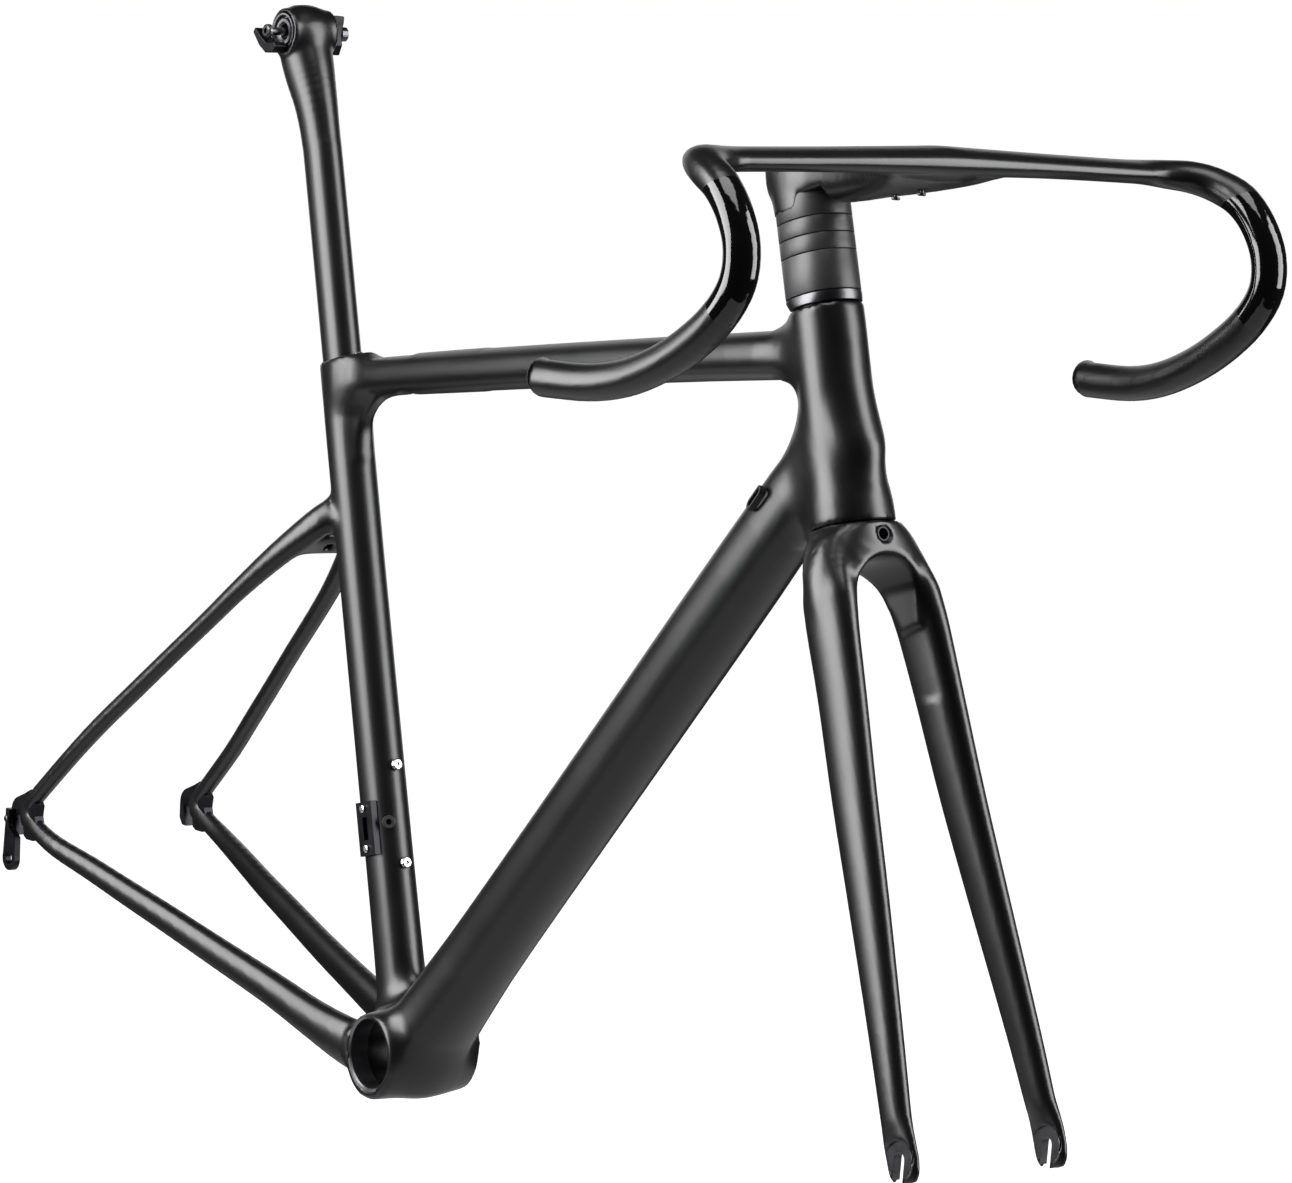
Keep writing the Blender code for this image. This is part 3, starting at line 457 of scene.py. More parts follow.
def plastic(name, colour, rough):
    """Moulded black plastic or rubber with a fine spark-eroded grain."""
    material, nodes, links, shader = new_material(name)
    place = nodes.new("ShaderNodeTexCoord").outputs["Object"]
    grain = noise(nodes, links, place, 1800.0, 2.0)
    patches = noise(nodes, links, place, 60.0, 3.0)
    lighter = tuple(v * 1.5 for v in colour)
    links.new(two_colours(nodes, links, patches, colour, lighter), shader.inputs["Base Color"])
    links.new(ramp(nodes, links, patches, rough - 0.06, rough + 0.06), shader.inputs["Roughness"])
    add_bump(nodes, links, shader, grain, 0.15, 0.0003)
    return material


def behind_plane(nodes, links, place, point, outward):
    """1 on the inner side of a plane, 0 past it."""
    dot = nodes.new("ShaderNodeVectorMath")
    dot.operation = "DOT_PRODUCT"
    outward = unit(outward)
    links.new(place, dot.inputs[0])
    dot.inputs[1].default_value = outward
    less = nodes.new("ShaderNodeMath")
    less.operation = "LESS_THAN"
    links.new(dot.outputs["Value"], less.inputs[0])
    less.inputs[1].default_value = float(np.dot(point, outward)) * MM
    return less.outputs["Value"]


def both(nodes, links, first, second):
    """1 where both masks are 1."""
    node = nodes.new("ShaderNodeMath")
    node.operation = "MULTIPLY"
    links.new(first, node.inputs[0])
    links.new(second, node.inputs[1])
    return node.outputs["Value"]


def bar_carbon():
    """The bar's satin carbon, lacquered to a gloss between two edges on each forward bend."""
    material = carbon("carbon_bar")
    nodes = material.node_tree.nodes
    links = material.node_tree.links
    shader = nodes["Principled BSDF"]
    place = nodes.new("ShaderNodeTexCoord").outputs["Object"]
    mask = behind_plane(nodes, links, place, (503.0, 0.0, 610.0), (-0.55, 0.0, 0.83))
    mask = both(nodes, links, mask,
                behind_plane(nodes, links, place, (518.0, 0.0, 547.0), (-0.75, 0.0, -0.66)))
    mask = both(nodes, links, mask,
                behind_plane(nodes, links, place, (480.0, 0.0, 0.0), (-1.0, 0.0, 0.0)))
    satin = shader.inputs["Roughness"].links[0].from_socket
    blend = nodes.new("ShaderNodeMix")
    links.new(mask, blend.inputs["Factor"])
    links.new(satin, blend.inputs["A"])
    blend.inputs["B"].default_value = LACQUER_ROUGHNESS
    links.new(blend.outputs["Result"], shader.inputs["Roughness"])
    plain = shader.inputs["Base Color"].links[0].from_socket
    colour = nodes.new("ShaderNodeMix")
    colour.data_type = "RGBA"
    links.new(mask, colour.inputs["Factor"])
    links.new(plain, colour.inputs["A"])
    colour.inputs["B"].default_value = (*LACQUER, 1.0)
    links.new(colour.outputs["Result"], shader.inputs["Base Color"])
    return material


CARBON = carbon("carbon_satin")
BAR_CARBON = bar_carbon()
ALLOY_BLACK = metal("alloy_black", (0.020, 0.020, 0.022), 0.38, 0.3)
ALLOY_DARK = metal("alloy_dark", (0.085, 0.085, 0.090), 0.30, 0.2)
ALLOY_GREY = metal("alloy_grey", (0.22, 0.22, 0.23), 0.34)
STEEL = metal("steel", (0.70, 0.70, 0.71), 0.24, 0.12)
NYLON = plastic("nylon_black", (0.022, 0.022, 0.023), 0.42)
RUBBER = plastic("rubber_black", (0.006, 0.006, 0.006), 0.65)
SLOT_MATERIALS = {"carbon_moulding": CARBON, "alloy_black": ALLOY_BLACK,
                  "alloy_grey": ALLOY_GREY, "steel": STEEL, "nylon_black": NYLON,
                  "rubber_black": RUBBER}

# Nodes that look darker than their slot's finish
DARK_NODES = {"derailleur_hanger": ALLOY_BLACK, "saddle_clamp_bolt": ALLOY_DARK,
              "saddle_clamp_nut": ALLOY_DARK, "computer_mount_bolt_front": ALLOY_DARK,
              "computer_mount_bolt_rear": ALLOY_DARK, "hanger_bolt": ALLOY_DARK,
              "crown_race": ALLOY_BLACK, "lower_bearing": ALLOY_BLACK,
              "compression_ring": ALLOY_BLACK, "upper_bearing": ALLOY_BLACK,
              "seat_clamp_wedge": ALLOY_BLACK, "seat_clamp_bolt": ALLOY_DARK}


def repaint_nodes():
    """Every CAD node that stays gets its slot's finish."""
    for entry in frame["record"]["subparts"]:
        node = frame["nodes"][entry["node"]]
        for holder in node.material_slots:
            holder.material = DARK_NODES.get(entry["node"],
                                             SLOT_MATERIALS[entry["material_slot"]])


# ---------------------------------------------------------------- frame moulding

DOWN_DIR = unit((0.645, 0.0, 0.764))
DOWN_NORMAL = np.array((DOWN_DIR[2], 0.0, -DOWN_DIR[0]))
DOWN_START = 3.4 * DOWN_NORMAL
TOP_REAR = np.array((-138.0, 0.0, 421.1))
TOP_FRONT = np.array((372.0, 0.0, 504.2))
TOP_DIR = unit(TOP_FRONT - TOP_REAR)
TOP_NORMAL = unit(np.cross(TOP_DIR, LATERAL))
BB_WIDTH = 68.0
BB_BORE_R = 23.0
HEAD_TUBE_LOW = 0.6
HEAD_TUBE_HIGH = 130.0
HEAD_BORE_R = 17.6
CROWN_ROOM = 27.5
SEAT_TUBE_HIGH = 452.0
POST_BORE = (15.4, 11.7)
POST_BORE_RUN = (428.0, 440.0, 455.0, 470.0)
BRIDGE = np.array((-146.0, 0.0, 311.0))
BRIDGE_FORE = unit((0.714, 0.0, 0.70))
BRIDGE_RISE = unit((-0.70, 0.0, 0.714))
BRIDGE_HOLE_R = 3.2

# Straight tubes: along, offset, half depth, half width
HEAD_ROWS = ((-8.0, -0.5, 26.0, 23.8), (12.0, -0.5, 25.4, 23.4), (32.0, -1.0, 22.8, 21.6),
             (60.0, -1.0, 21.8, 20.6), (95.0, -0.8, 22.0, 20.4), (118.0, -0.5, 22.3, 20.2),
             (140.0, -0.5, 22.0, 20.0))
DOWN_ROWS = ((0.0, 0.0, 23.0, 30.0), (30.0, 0.0, 23.6, 28.4), (70.0, -0.2, 23.8, 24.8),
             (130.0, -0.2, 23.3, 22.2), (300.0, 0.4, 23.0, 21.6), (480.0, 0.6, 22.9, 21.0),
             (575.0, 0.0, 22.0, 17.0), (610.0, 0.0, 17.0, 12.0))
TOP_ROWS = ((12.0, -0.6, 10.5, 10.0), (34.0, -1.0, 11.6, 12.5), (60.0, -0.8, 12.0, 14.0),
            (180.0, 0.0, 12.8, 16.0), (360.0, 0.4, 13.2, 17.0), (465.0, -0.2, 13.8, 17.0),
            (515.0, -0.2, 14.5, 12.0))
SEAT_ROWS = ((10.0, 0.6, 19.0, 16.0), (60.0, 0.6, 18.0, 14.5), (180.0, 0.2, 17.2, 14.2),
             (390.0, 0.2, 17.0, 14.2), (425.0, 2.2, 19.0, 14.5), (460.0, 3.2, 20.0, 14.6))

# Stays: x, y, z, half depth, half width
CHAINSTAY = ((-397.0, 68.5, 77.5, 8.0, 3.5), (-388.0, 68.5, 75.0, 7.6, 4.6),
             (-375.0, 68.4, 70.2, 7.2, 5.6), (-353.0, 67.0, 64.2, 7.7, 6.0),
             (-316.0, 61.0, 56.7, 8.6, 6.5), (-275.0, 54.6, 47.7, 9.4, 6.8),
             (-236.0, 49.1, 39.7, 10.1, 7.0), (-174.0, 40.6, 26.5, 11.0, 7.6),
             (-119.0, 34.0, 15.5, 12.0, 8.4), (-75.0, 30.0, 6.0, 13.6, 9.2),
             (-36.0, 26.5, -0.8, 16.5, 9.2), (-10.0, 22.0, -3.0, 18.0, 8.0))
SEATSTAY = ((-398.0, 68.5, 82.0, 6.5, 3.5), (-390.0, 68.4, 88.0, 6.4, 4.8),
            (-381.0, 68.2, 96.2, 6.2, 5.5), (-346.0, 65.5, 129.0, 6.1, 5.8),
            (-317.0, 61.0, 156.8, 6.2, 5.9), (-285.0, 55.0, 185.8, 6.2, 5.9),
            (-252.0, 48.5, 215.8, 6.2, 5.9), (-217.0, 42.0, 247.0, 6.4, 6.0),
            (-190.0, 36.5, 272.0, 7.0, 6.2), (-160.0, 28.0, 299.6, 8.6, 7.2),
            (-134.0, 17.5, 323.0, 10.5, 8.0), (-124.0, 11.0, 333.0, 10.5, 7.0))


def axis_stations(rows, place, deep, wide, per_span=3):
    """Stations from (along, offset, half depth, half width) rows of a straight tube."""
    return [(place(row[0], row[1]), deep, wide, row[2], row[3]) for row in through(rows, per_span)]


def stay_stations(rows, side):
    """Stations of a curved stay on one side."""
    points = through(rows, 3)
    stations = []
    for i, row in enumerate(points):
        after = points[min(i + 1, len(points) - 1)]
        before = points[max(i - 1, 0)]
        run = unit((after[0] - before[0], 0.0, after[2] - before[2]))
        centre = np.array((row[0], side * row[1], row[2]))
        stations.append((centre, np.cross(run, LATERAL), LATERAL, row[3], row[4]))
    return stations


def down_point(k, d):
    """A point k up the down tube and d in front of its axis."""
    return DOWN_START + k * DOWN_DIR + d * DOWN_NORMAL


def top_point(k, d):
    """A point k forward along the top tube and d above its axis."""
    return TOP_REAR + k * TOP_DIR + d * TOP_NORMAL


def fill_corner(field, corner, length, drop, half_width):
    """A curved web in the corner under the top tube: its length forward and its drop.

    The web leans with the top tube and is buried a little way into both tubes.
    """
    window = field.window(corner - length - 8.0, corner + length + 8.0)
    deep = field.dot(window, corner, SEAT_FORE)
    high = field.dot(window, corner, SEAT_UP) + 0.15 * deep
    web = drop - np.hypot((deep - length) * drop / length, high + drop)
    web = np.maximum(np.maximum(web, deep - length), -high - drop)
    web = np.maximum(web, np.maximum(-10.0 - deep, high - 6.0))
    width = np.abs(field.grid(window)[1]) - half_width
    field.join(window, np.maximum(web, width), 9.0)


def join_shell(field):
    """The round shell of the bottom bracket, a little smaller at its left end."""
    window = field.window((-60.0, -50.0, -60.0), (60.0, 50.0, 60.0))
    x, y, z = field.grid(window)
    radius = 27.6 - 1.6 * np.clip((y - 18.0) / 14.0, 0.0, 1.0)
    shell = np.maximum(np.hypot(x + 0.8, z + 2.4) - radius, np.abs(y) - 0.5 * BB_WIDTH)
    field.join(window, shell, 22.0, 0.2)


def clear_crown(field):
    """Takes away what would stand where the fork's crown turns, under the head tube."""
    window = field.window(head(-40.0, 0.0, -60.0) - 40.0, head(HEAD_TUBE_LOW, 0.0, 60.0) + 30.0)
    below = field.dot(window, head(HEAD_TUBE_LOW), HEAD_UP)
    behind = -field.dot(window, head(0.0, -CROWN_ROOM), HEAD_FORE)
    field.carve(window, np.maximum(below, behind))


def build_frame_skin():
    """The whole frame as one skin, then its bores and its cut ends."""
    field = Field((-412.0, -82.0, -36.0), (442.0, 82.0, 548.0), 1.9)
    add_tube(field, axis_stations(HEAD_ROWS, head, HEAD_FORE, LATERAL), 0.0)
    add_tube(field, axis_stations(DOWN_ROWS, down_point, DOWN_NORMAL, LATERAL), 36.0, 2.5, 22.0)
    join_shell(field)
    add_tube(field, axis_stations(SEAT_ROWS, seat, SEAT_FORE, LATERAL), 22.0)
    add_tube(field, axis_stations(TOP_ROWS, top_point, TOP_NORMAL, LATERAL), 30.0, 2.5, 24.0)
    fill_corner(field, seat(430.0, 14.5), 52.0, 42.0, 3.5)
    for side in (-1, 1):
        add_tube(field, stay_stations(SEATSTAY, side), 9.0, 2.1, 12.0)
        add_tube(field, stay_stations(CHAINSTAY, side), 16.0, 2.1, 12.0)
    bridge = [(BRIDGE + y * LATERAL, BRIDGE_FORE, BRIDGE_RISE, 11.0, 6.5)
              for y in (-22.0, 0.0, 22.0)]
    add_tube(field, bridge, 12.0, 2.6, 10.0)

    plane_cut(field, head(HEAD_TUBE_HIGH), HEAD_UP, 40.0)
    clear_crown(field)
    plane_cut(field, seat(SEAT_TUBE_HIGH), SEAT_UP, 40.0)
    bore(field, head(0.0), HEAD_UP, HEAD_BORE_R, -40.0, 200.0)
    bore(field, np.zeros(3), LATERAL, BB_BORE_R, -60.0, 60.0)
    post = [(seat(t), SEAT_FORE, LATERAL, *POST_BORE) for t in POST_BORE_RUN]
    add_tube(field, post, 0.0, 2.2, 6.0, True)
    bore(field, BRIDGE, BRIDGE_RISE, BRIDGE_HOLE_R, -25.0, 25.0)
    return mesh_field("frame_moulding", field, 5, CARBON, "frame",
                      ("head_tube", "down_tube", "top_tube", "seat_tube", "bb_shell",
                       "chainstay_left", "chainstay_right", "seatstay_left", "seatstay_right",
                       "seatstay_bridge"))


# ---------------------------------------------------------------- fork moulding

TIP_BACK = 1.2
TIP_R = 10.2
AXLE_SLOT_R = 4.9
BRAKE_HOLE_R = 3.4
BRAKE_RIM_R = 5.2
BRAKE_HOLE = -8.0
ARCH_R = 21.6

# Height on the steering axis, offset, half depth, half width
CROWN_ROWS = ((4.0, -0.5, 26.0, 23.6), (-4.0, 0.0, 26.6, 27.0), (-12.0, 1.4, 26.6, 33.5),
              (-22.0, 4.2, 25.0, 38.6), (-32.0, 6.8, 23.0, 41.2), (-46.0, 9.6, 19.0, 41.8),
              (-60.0, 11.4, 14.0, 40.0))

# Height on the steering axis, offset, distance from the middle, half depth, half width
FORK_LEG = ((-12.0, 4.0, 22.0, 12.0, 8.0), (-26.0, 6.5, 27.0, 17.0, 10.4),
            (-40.0, 8.8, 30.2, 20.0, 11.0), (-50.0, 10.2, 31.6, 20.4, 10.6),
            (-65.0, 12.0, 33.2, 20.2, 9.7),
            (-101.0, 15.8, 35.4, 19.0, 9.1), (-159.0, 20.9, 39.2, 17.4, 8.7),
            (-216.0, 27.5, 43.2, 15.5, 8.2), (-273.0, 34.1, 47.6, 13.4, 7.5),
            (-309.0, 38.0, 50.4, 12.1, 7.1), (-337.0, 40.6, 52.4, 11.3, 6.6),
            (-346.0, 41.8, 53.2, 12.0, 5.6), (-355.0, 42.9, 53.7, 13.2, 4.6),
            (-364.5, 43.8, 53.7, 13.6, 4.2), (-371.0, 43.8, 53.7, 12.6, 4.1),
            (-375.5, 43.6, 53.7, 9.6, 3.8))


def wheel_arch(field):
    """The arched room for the tyre, carried down between the legs."""
    window = field.window(head(-110.0, -60.0, -60.0) - 30.0, head(-10.0, 60.0, 60.0) + 30.0)
    high = field.dot(window, head(-42.0), HEAD_UP)
    y = field.grid(window)[1]
    reach = ARCH_R - 0.06 * np.minimum(high, 0.0)
    arch = np.where(high > 0.0, np.hypot(y, high) - ARCH_R, np.abs(y) - reach)
    arch = np.maximum(arch, -high - 59.0)
    field.carve(window, arch, 5.0)


def build_fork_skin():
    """The crown and both legs as one skin."""
    field = Field((375.0, -66.0, 56.0), (600.0, 66.0, 436.0), 1.6)
    add_tube(field, axis_stations(CROWN_ROWS, head, HEAD_FORE, LATERAL, 5), 0.0, 2.2, 20.0)
    for side in (-1, 1):
        stations = [(head(s, d, side * y), HEAD_FORE, LATERAL, a, b)
                    for s, d, y, a, b in through(FORK_LEG, 4)]
        add_tube(field, stations, 10.0, 2.2, 10.0)
    plane_cut(field, head(0.0), HEAD_UP, 60.0)
    wheel_arch(field)
    bore(field, head(BRAKE_HOLE), HEAD_FORE, BRAKE_HOLE_R, -60.0, 60.0)
    bore(field, head(BRAKE_HOLE), HEAD_FORE, BRAKE_RIM_R, 25.2, 60.0)
    tips = field.window((540.0, -66.0, 56.0), (600.0, 66.0, 100.0))
    x, y, z = field.grid(tips)
    across = np.abs(x - FRONT_AXLE[0] + TIP_BACK)
    drop = np.hypot(across, z - FRONT_AXLE[2])
    slot = np.where(z > FRONT_AXLE[2], drop, across) - AXLE_SLOT_R
    field.carve(tips, np.minimum(slot, drop - TIP_R) + 0.0 * y)
    return mesh_field("fork_moulding", field, 4, CARBON, "steering",
                      ("fork_crown", "fork_leg_left", "fork_leg_right"))


def build_brake_rim():
    """The recessed ring round the brake bolt's hole at the front of the crown."""
    place = frame_of(head(BRAKE_HOLE, 24.0), LATERAL, HEAD_UP)
    profile = [(2.9, 0.0), (2.9, 2.3), (3.4, 2.8), (4.2, 2.8), (4.8, 2.3), (4.8, 0.0)]
    lathe("brake_hole_rim", profile, place, ALLOY_BLACK, "steering", (), 48)


def build_fork_tips():
    """The metal plates let into the fork's ends, each with its axle slot."""
    half = 4.5
    low = -13.0
    start = math.degrees(math.atan2(-TIP_R, AXLE_SLOT_R))
    outline = [(half, low)] + arc(11.2, start, 245.7, 40)
    outline += [(-half, low)] + [(half * math.cos(a), half * math.sin(a))
                                 for a in np.linspace(math.pi, 0.0, 20)]
    for side, label in ((-1, "right"), (1, "left")):
        middle = np.array((FRONT_AXLE[0] - TIP_BACK, side * 53.6, FRONT_AXLE[2]))
        place = frame_of(middle, FORWARD, UP)
        slab("fork_tip_" + label, outline, 5.6, place, ALLOY_DARK, "steering",
             ("fork_dropout_" + label,))


# ---------------------------------------------------------------- bar and stem moulding

STEM_LOW = 186.5
STEM_HIGH = 217.5
STEM_BORE_R = 14.7
STACK_BORE_R = 14.6

# Bar, from the middle outwards: x, y, z, half depth, half height
DROP_RUN = ((458.0, 135.0, 622.0, 18.0, 6.8), (458.5, 152.0, 621.7, 17.5, 7.2),
            (464.5, 165.0, 621.4, 15.0, 8.4), (474.0, 176.5, 620.8, 12.8, 9.4),
            (487.5, 184.0, 617.6, 11.0, 10.0), (505.0, 187.6, 611.0, 10.4, 10.4),
            (520.0, 189.0, 598.4, 10.3, 10.3), (530.2, 189.8, 581.0, 10.3, 10.3),
            (530.2, 190.6, 561.5, 10.3, 10.3), (517.0, 191.2, 542.0, 10.4, 10.4),
            (494.5, 192.0, 523.8, 10.6, 10.6), (469.0, 193.4, 509.2, 10.5, 10.5),
            (441.0, 195.0, 498.0, 10.5, 10.5), (411.0, 197.5, 491.6, 10.5, 10.5),
            (372.0, 200.0, 488.6, 10.6, 10.6))
BAR_MIDDLE = ((458.0, 80.0, 623.3, 18.0, 7.0), (458.0, 35.0, 624.0, 18.5, 7.8),
              (458.0, 0.0, 624.2, 19.0, 8.6))

# Stem's arm: x, z, half height, half width
STEM_ARM = ((322.0, 603.0, 14.0, 16.0), (345.0, 605.0, 16.0, 18.5), (375.0, 607.5, 15.5, 19.0),
            (405.0, 611.5, 13.5, 22.0), (428.0, 614.5, 12.0, 28.0), (450.0, 617.5, 9.5, 38.0),
            (464.0, 620.0, 7.0, 42.0))


def bar_stations():
    """The whole bar from the right end to the left, turning smoothly with its run."""
    half = list(reversed(DROP_RUN)) + list(BAR_MIDDLE)
    right = [(x, -y, z, a, b) for x, y, z, a, b in half]
    left = [(x, y, z, a, b) for x, y, z, a, b in reversed(half[:-1])]
    points = through(right + left, 4)
    middle = len(points) // 2
    deeps = [None] * len(points)
    runs = []
    for i in range(len(points)):
        runs.append(unit(points[min(i + 1, len(points) - 1)][:3] - points[max(i - 1, 0)][:3]))
    for order in (range(middle, len(points)), range(middle, -1, -1)):
        deep = FORWARD
        for i in order:
            deep = unit(deep - deep.dot(runs[i]) * runs[i])
            deeps[i] = deep
    return [(p[:3], deeps[i], np.cross(runs[i], deeps[i]), p[3], p[4])
            for i, p in enumerate(points)]


def build_bar_skin():
    """The bar, the stem's arm and its clamp round the steerer as one skin."""
    field = Field((290.0, -216.0, 474.0), (548.0, 216.0, 642.0), 1.6)
    add_tube(field, bar_stations(), 0.0, 2.1, 8.0)
    arm = [(np.array((x, 0.0, z)), UP, LATERAL, a, b) for x, z, a, b in through(STEM_ARM, 3)]
    add_tube(field, arm, 8.0, 2.6, 10.0)
    column_rows = ((180.0, -2.0, 24.0, 19.3), (195.0, -2.6, 24.8, 19.6), (210.0, -3.2, 26.2, 19.8),
                   (240.0, -3.2, 26.6, 19.8))
    add_tube(field, axis_stations(column_rows, head, HEAD_FORE, LATERAL), 12.0, 2.3)
    cut = field.window((280.0, -40.0, 560.0), (380.0, 40.0, 660.0))
    field.carve(cut, -field.dot(cut, head(STEM_HIGH), unit(HEAD_UP + 0.22 * HEAD_FORE)), 5.0)
    under = field.window((280.0, -60.0, 540.0), (400.0, 60.0, 640.0))
    depth = field.dot(under, head(0.0), HEAD_FORE)
    rise = 8.5 * np.clip((depth - 5.0) / 4.0, 0.0, 1.0)
    field.carve(under, np.maximum(field.dot(under, head(STEM_LOW), HEAD_UP) - rise, depth - 30.0))
    bore(field, head(0.0), HEAD_UP, STEM_BORE_R, 150.0, 260.0)
    return mesh_field("bar_and_stem", field, 4, BAR_CARBON, "steering",
                      ("handlebar_crossbar", "handlebar_drop_left", "handlebar_drop_right",
                       "stem"))


def build_stack():
    """The headset cover and the spacers, each with softened edges."""
    spacers = (("spacer_tall", 137.1, 160.4), ("spacer_lower", 160.6, 170.7),
               ("spacer_middle", 170.9, 181.0), ("spacer_upper", 181.2, 199.0))
    for name, low, high in spacers:
        rows = [(low, -2.0, 23.3, 18.6), (low + 0.25, -2.0, 23.85, 19.15),
                (low + 0.6, -2.0, 24.0, 19.3), (high - 0.6, -2.0, 24.0, 19.3),
                (high - 0.25, -2.0, 23.85, 19.15), (high, -2.0, 23.3, 18.6)]
        sleeve("visual_" + name, rows, STACK_BORE_R, NYLON, (name,))
    cover = [(130.4, -0.6, 20.6, 18.8), (131.0, -0.7, 21.6, 19.6), (132.4, -1.0, 22.4, 19.7),
             (134.2, -1.5, 23.4, 19.6), (135.8, -2.0, 24.0, 19.5), (136.4, -2.0, 24.0, 19.4),
             (136.8, -2.0, 23.5, 18.9)]
    sleeve("visual_headset_cover", cover, STACK_BORE_R, ALLOY_DARK, ("headset_cover",))


def build_bb_rims():
    """The machined seat at each end of the bottom bracket's bore."""
    for side, label in ((-1, "right"), (1, "left")):
        place = frame_of(np.zeros(3), FORWARD, side * -UP)
        profile = [(22.6, 20.0), (22.6, 32.9), (23.6, 33.9), (24.6, 33.95), (24.9, 33.6),
                   (24.9, 20.0)]
        lathe("bb_seat_" + label, profile, place, ALLOY_GREY, "frame", ())


# ---------------------------------------------------------------- seatpost moulding

POST_LOW = 300.3
BARREL_R = 15.6
BARREL_BORE_R = 12.6
BARREL_HALF_WIDTH = 17.0

# Height on the seat tube's axis, offset, half depth, half width
POST_ROWS = ((296.0, 0.0, 15.0, 11.3), (560.0, 0.0, 15.0, 11.3), (600.0, -0.6, 14.8, 11.5),
             (625.0, -2.6, 15.8, 13.0), (645.0, -6.4, 17.6, 15.2), (660.0, -8.8, 17.7, 16.6),
             (674.0, -9.4, 16.6, 16.9), (684.0, -9.2, 12.5, 13.5), (689.0, -9.0, 6.0, 8.0))


def build_post_skin():
    """The post, thickening into the barrel that holds the rail clamp."""
    field = Field((-262.0, -30.0, 270.0), (-70.0, 30.0, 668.0), 1.3)
    add_tube(field, axis_stations(POST_ROWS, seat, SEAT_FORE, LATERAL, 4), 0.0)
    window = field.everywhere()
    barrel = cylinder_distance(field, window, SADDLE_PIVOT, LATERAL, BARREL_R)
    width = np.abs(field.grid(window)[1])
    field.join(window, np.maximum(barrel, width - BARREL_HALF_WIDTH), 6.0)
    bore(field, SADDLE_PIVOT, LATERAL, BARREL_BORE_R, -60.0, 60.0)
    plane = field.window(seat(280.0, -40.0, -40.0) - 10.0, seat(302.0, 40.0, 40.0))
    field.carve(plane, field.dot(plane, seat(POST_LOW), SEAT_UP))
    return mesh_field("seatpost_moulding", field, 4, CARBON, "seatpost", ("seatpost",))


def build_saddle_clamp():
    """The cradles let into the post's bore and the hooked jaws outside them."""
    hook = [(-21.5, -2.5), (-13.0, -10.5), (-5.0, -14.6), (4.0, -13.6), (8.5, -9.0), (5.0, -6.5),
            (-4.0, -8.0), (-11.0, -4.5), (-19.5, 1.0)]
    tall = [(-8.0, -14.0), (3.0, -14.0), (6.0, -7.0), (4.0, 0.0), (6.0, 8.0), (6.0, 12.2),
            (-2.0, 12.2), (-6.0, 4.0)]
    for side, label, outline in ((-1, "right", hook), (1, "left", tall)):
        place = frame_of(SADDLE_PIVOT, FORWARD, side * -UP)
        cradle = [(0.0, 11.0), (5.2, 11.0), (5.2, 15.5), (6.6, 16.6), (8.6, 16.6), (9.6, 13.0),
                  (10.6, 13.0), (11.2, 17.0), (12.3, 17.0), (12.3, 2.0), (0.0, 2.0)]
        lathe("visual_rail_cradle_" + label, cradle, place, ALLOY_GREY, "saddle_clamp",
              ("rail_cradle_" + label,), 64, False)
        place = frame_of(SADDLE_PIVOT + side * 22.4 * LATERAL, FORWARD, UP)
        slab("visual_rail_clamp_" + label, outline, 8.8, place, ALLOY_BLACK, "saddle_clamp",
             ("rail_clamp_" + label,), 0.8)


# ---------------------------------------------------------------- studio

AZIMUTH = math.radians(53.536)
ELEVATION = math.radians(8.3957)
ROLL = math.radians(4.6784)
CAMERA_PLACE = Vector((2.856449, -1.953564, 0.822029))
LENS = 152.38


def build_camera():
    """A long lens at the front right, a little above the frame."""
    data = bpy.data.cameras.new("camera")
    data.lens = LENS
    data.sensor_width = 36.0
    data.sensor_fit = "HORIZONTAL"
    data.clip_end = 200.0
    camera = bpy.data.objects.new("camera", data)
    bpy.context.scene.collection.objects.link(camera)
    back = Vector((math.sin(AZIMUTH) * math.cos(ELEVATION),
                   -math.cos(AZIMUTH) * math.cos(ELEVATION), math.sin(ELEVATION)))
    right = Vector((math.cos(AZIMUTH), math.sin(AZIMUTH), 0.0))
    up = back.cross(right)
    turned_right = right * math.cos(ROLL) + up * math.sin(ROLL)
    turned_up = up * math.cos(ROLL) - right * math.sin(ROLL)
    matrix = Matrix((turned_right, turned_up, back)).transposed().to_4x4()
    matrix.translation = CAMERA_PLACE
    camera.matrix_world = matrix
    bpy.context.scene.camera = camera


def area_light(name, place, target, width, height, power):
    """A soft box that lights but isn't seen itself."""
    data = bpy.data.lights.new(name, "AREA")
    data.shape = "RECTANGLE"
    data.size = width
    data.size_y = height
    data.energy = power
    light = bpy.data.objects.new(name, data)
    bpy.context.scene.collection.objects.link(light)
    light.location = place
    light.rotation_euler = (Vector(place) - Vector(target)).to_track_quat("Z", "Y").to_euler()
    light.visible_camera = False


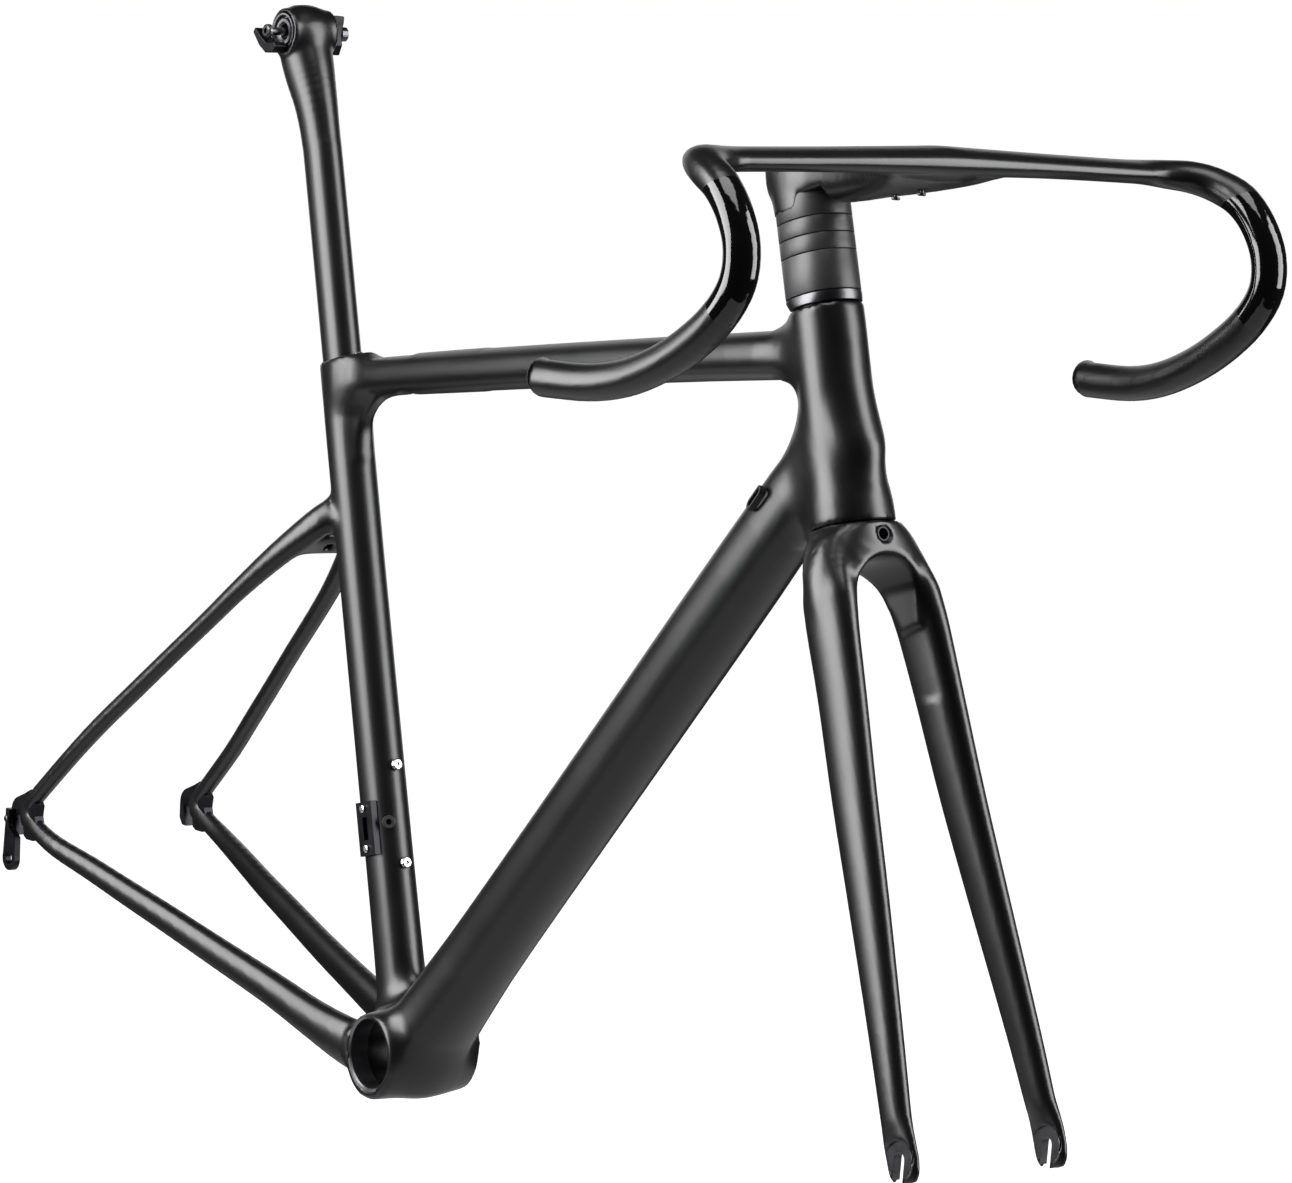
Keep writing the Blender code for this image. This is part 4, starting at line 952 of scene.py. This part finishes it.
def around(azimuth, distance, height):
    """A point round the object, by the same azimuth that the camera is given."""
    a = math.radians(azimuth)
    return (0.08 + distance * math.sin(a), -distance * math.cos(a), height)


def build_studio():
    """A pale floor and world, with soft banks of light round the frame."""
    world = bpy.data.worlds.new("studio")
    bpy.context.scene.world = world
    world.use_nodes = True
    nodes = world.node_tree.nodes
    background = nodes["Background"]
    background.inputs["Color"].default_value = (1.0, 1.0, 1.0, 1.0)
    rays = nodes.new("ShaderNodeLightPath").outputs["Is Camera Ray"]
    links = world.node_tree.links
    links.new(ramp(nodes, links, rays, 0.03, 1.05), background.inputs["Strength"])
    bm = bmesh.new()
    bmesh.ops.create_grid(bm, x_segments=8, y_segments=8, size=60.0)
    mesh = bpy.data.meshes.new("studio_floor")
    bm.to_mesh(mesh)
    bm.free()
    floor = bpy.data.objects.new("studio_floor", mesh)
    floor.location = (0.0, 0.0, -0.9)
    bpy.context.scene.collection.objects.link(floor)
    material, nodes, links, shader = new_material("studio_floor")
    shader.inputs["Base Color"].default_value = (0.8, 0.8, 0.8, 1.0)
    shader.inputs["Roughness"].default_value = 0.9
    shader.inputs["Emission Color"].default_value = (1.0, 1.0, 1.0, 1.0)
    shader.inputs["Emission Strength"].default_value = 1.0
    mesh.materials.append(material)
    floor.visible_glossy = False
    floor.visible_diffuse = False
    middle = (0.08, 0.0, 0.32)
    area_light("left_bank", around(-28.0, 2.5, 1.0), middle, 1.9, 2.2, 150.0)
    area_light("right_bank", around(129.0, 2.4, 1.2), middle, 1.3, 3.0, 112.0)
    area_light("back_bank", around(233.5, 3.0, 0.8), middle, 4.0, 1.8, 22.0)
    area_light("floor_bounce", (0.08, 0.0, -0.85), middle, 3.0, 3.0, 17.0)
    area_light("top_bank", (0.5, -0.5, 2.7), middle, 1.6, 1.4, 36.0)
    view = bpy.context.scene.view_settings
    view.view_transform = "Standard"


repaint_nodes()
build_frame_skin()
build_bb_rims()
build_fork_skin()
build_brake_rim()
build_fork_tips()
build_bar_skin()
build_stack()
build_post_skin()
build_saddle_clamp()
build_camera()
build_studio()
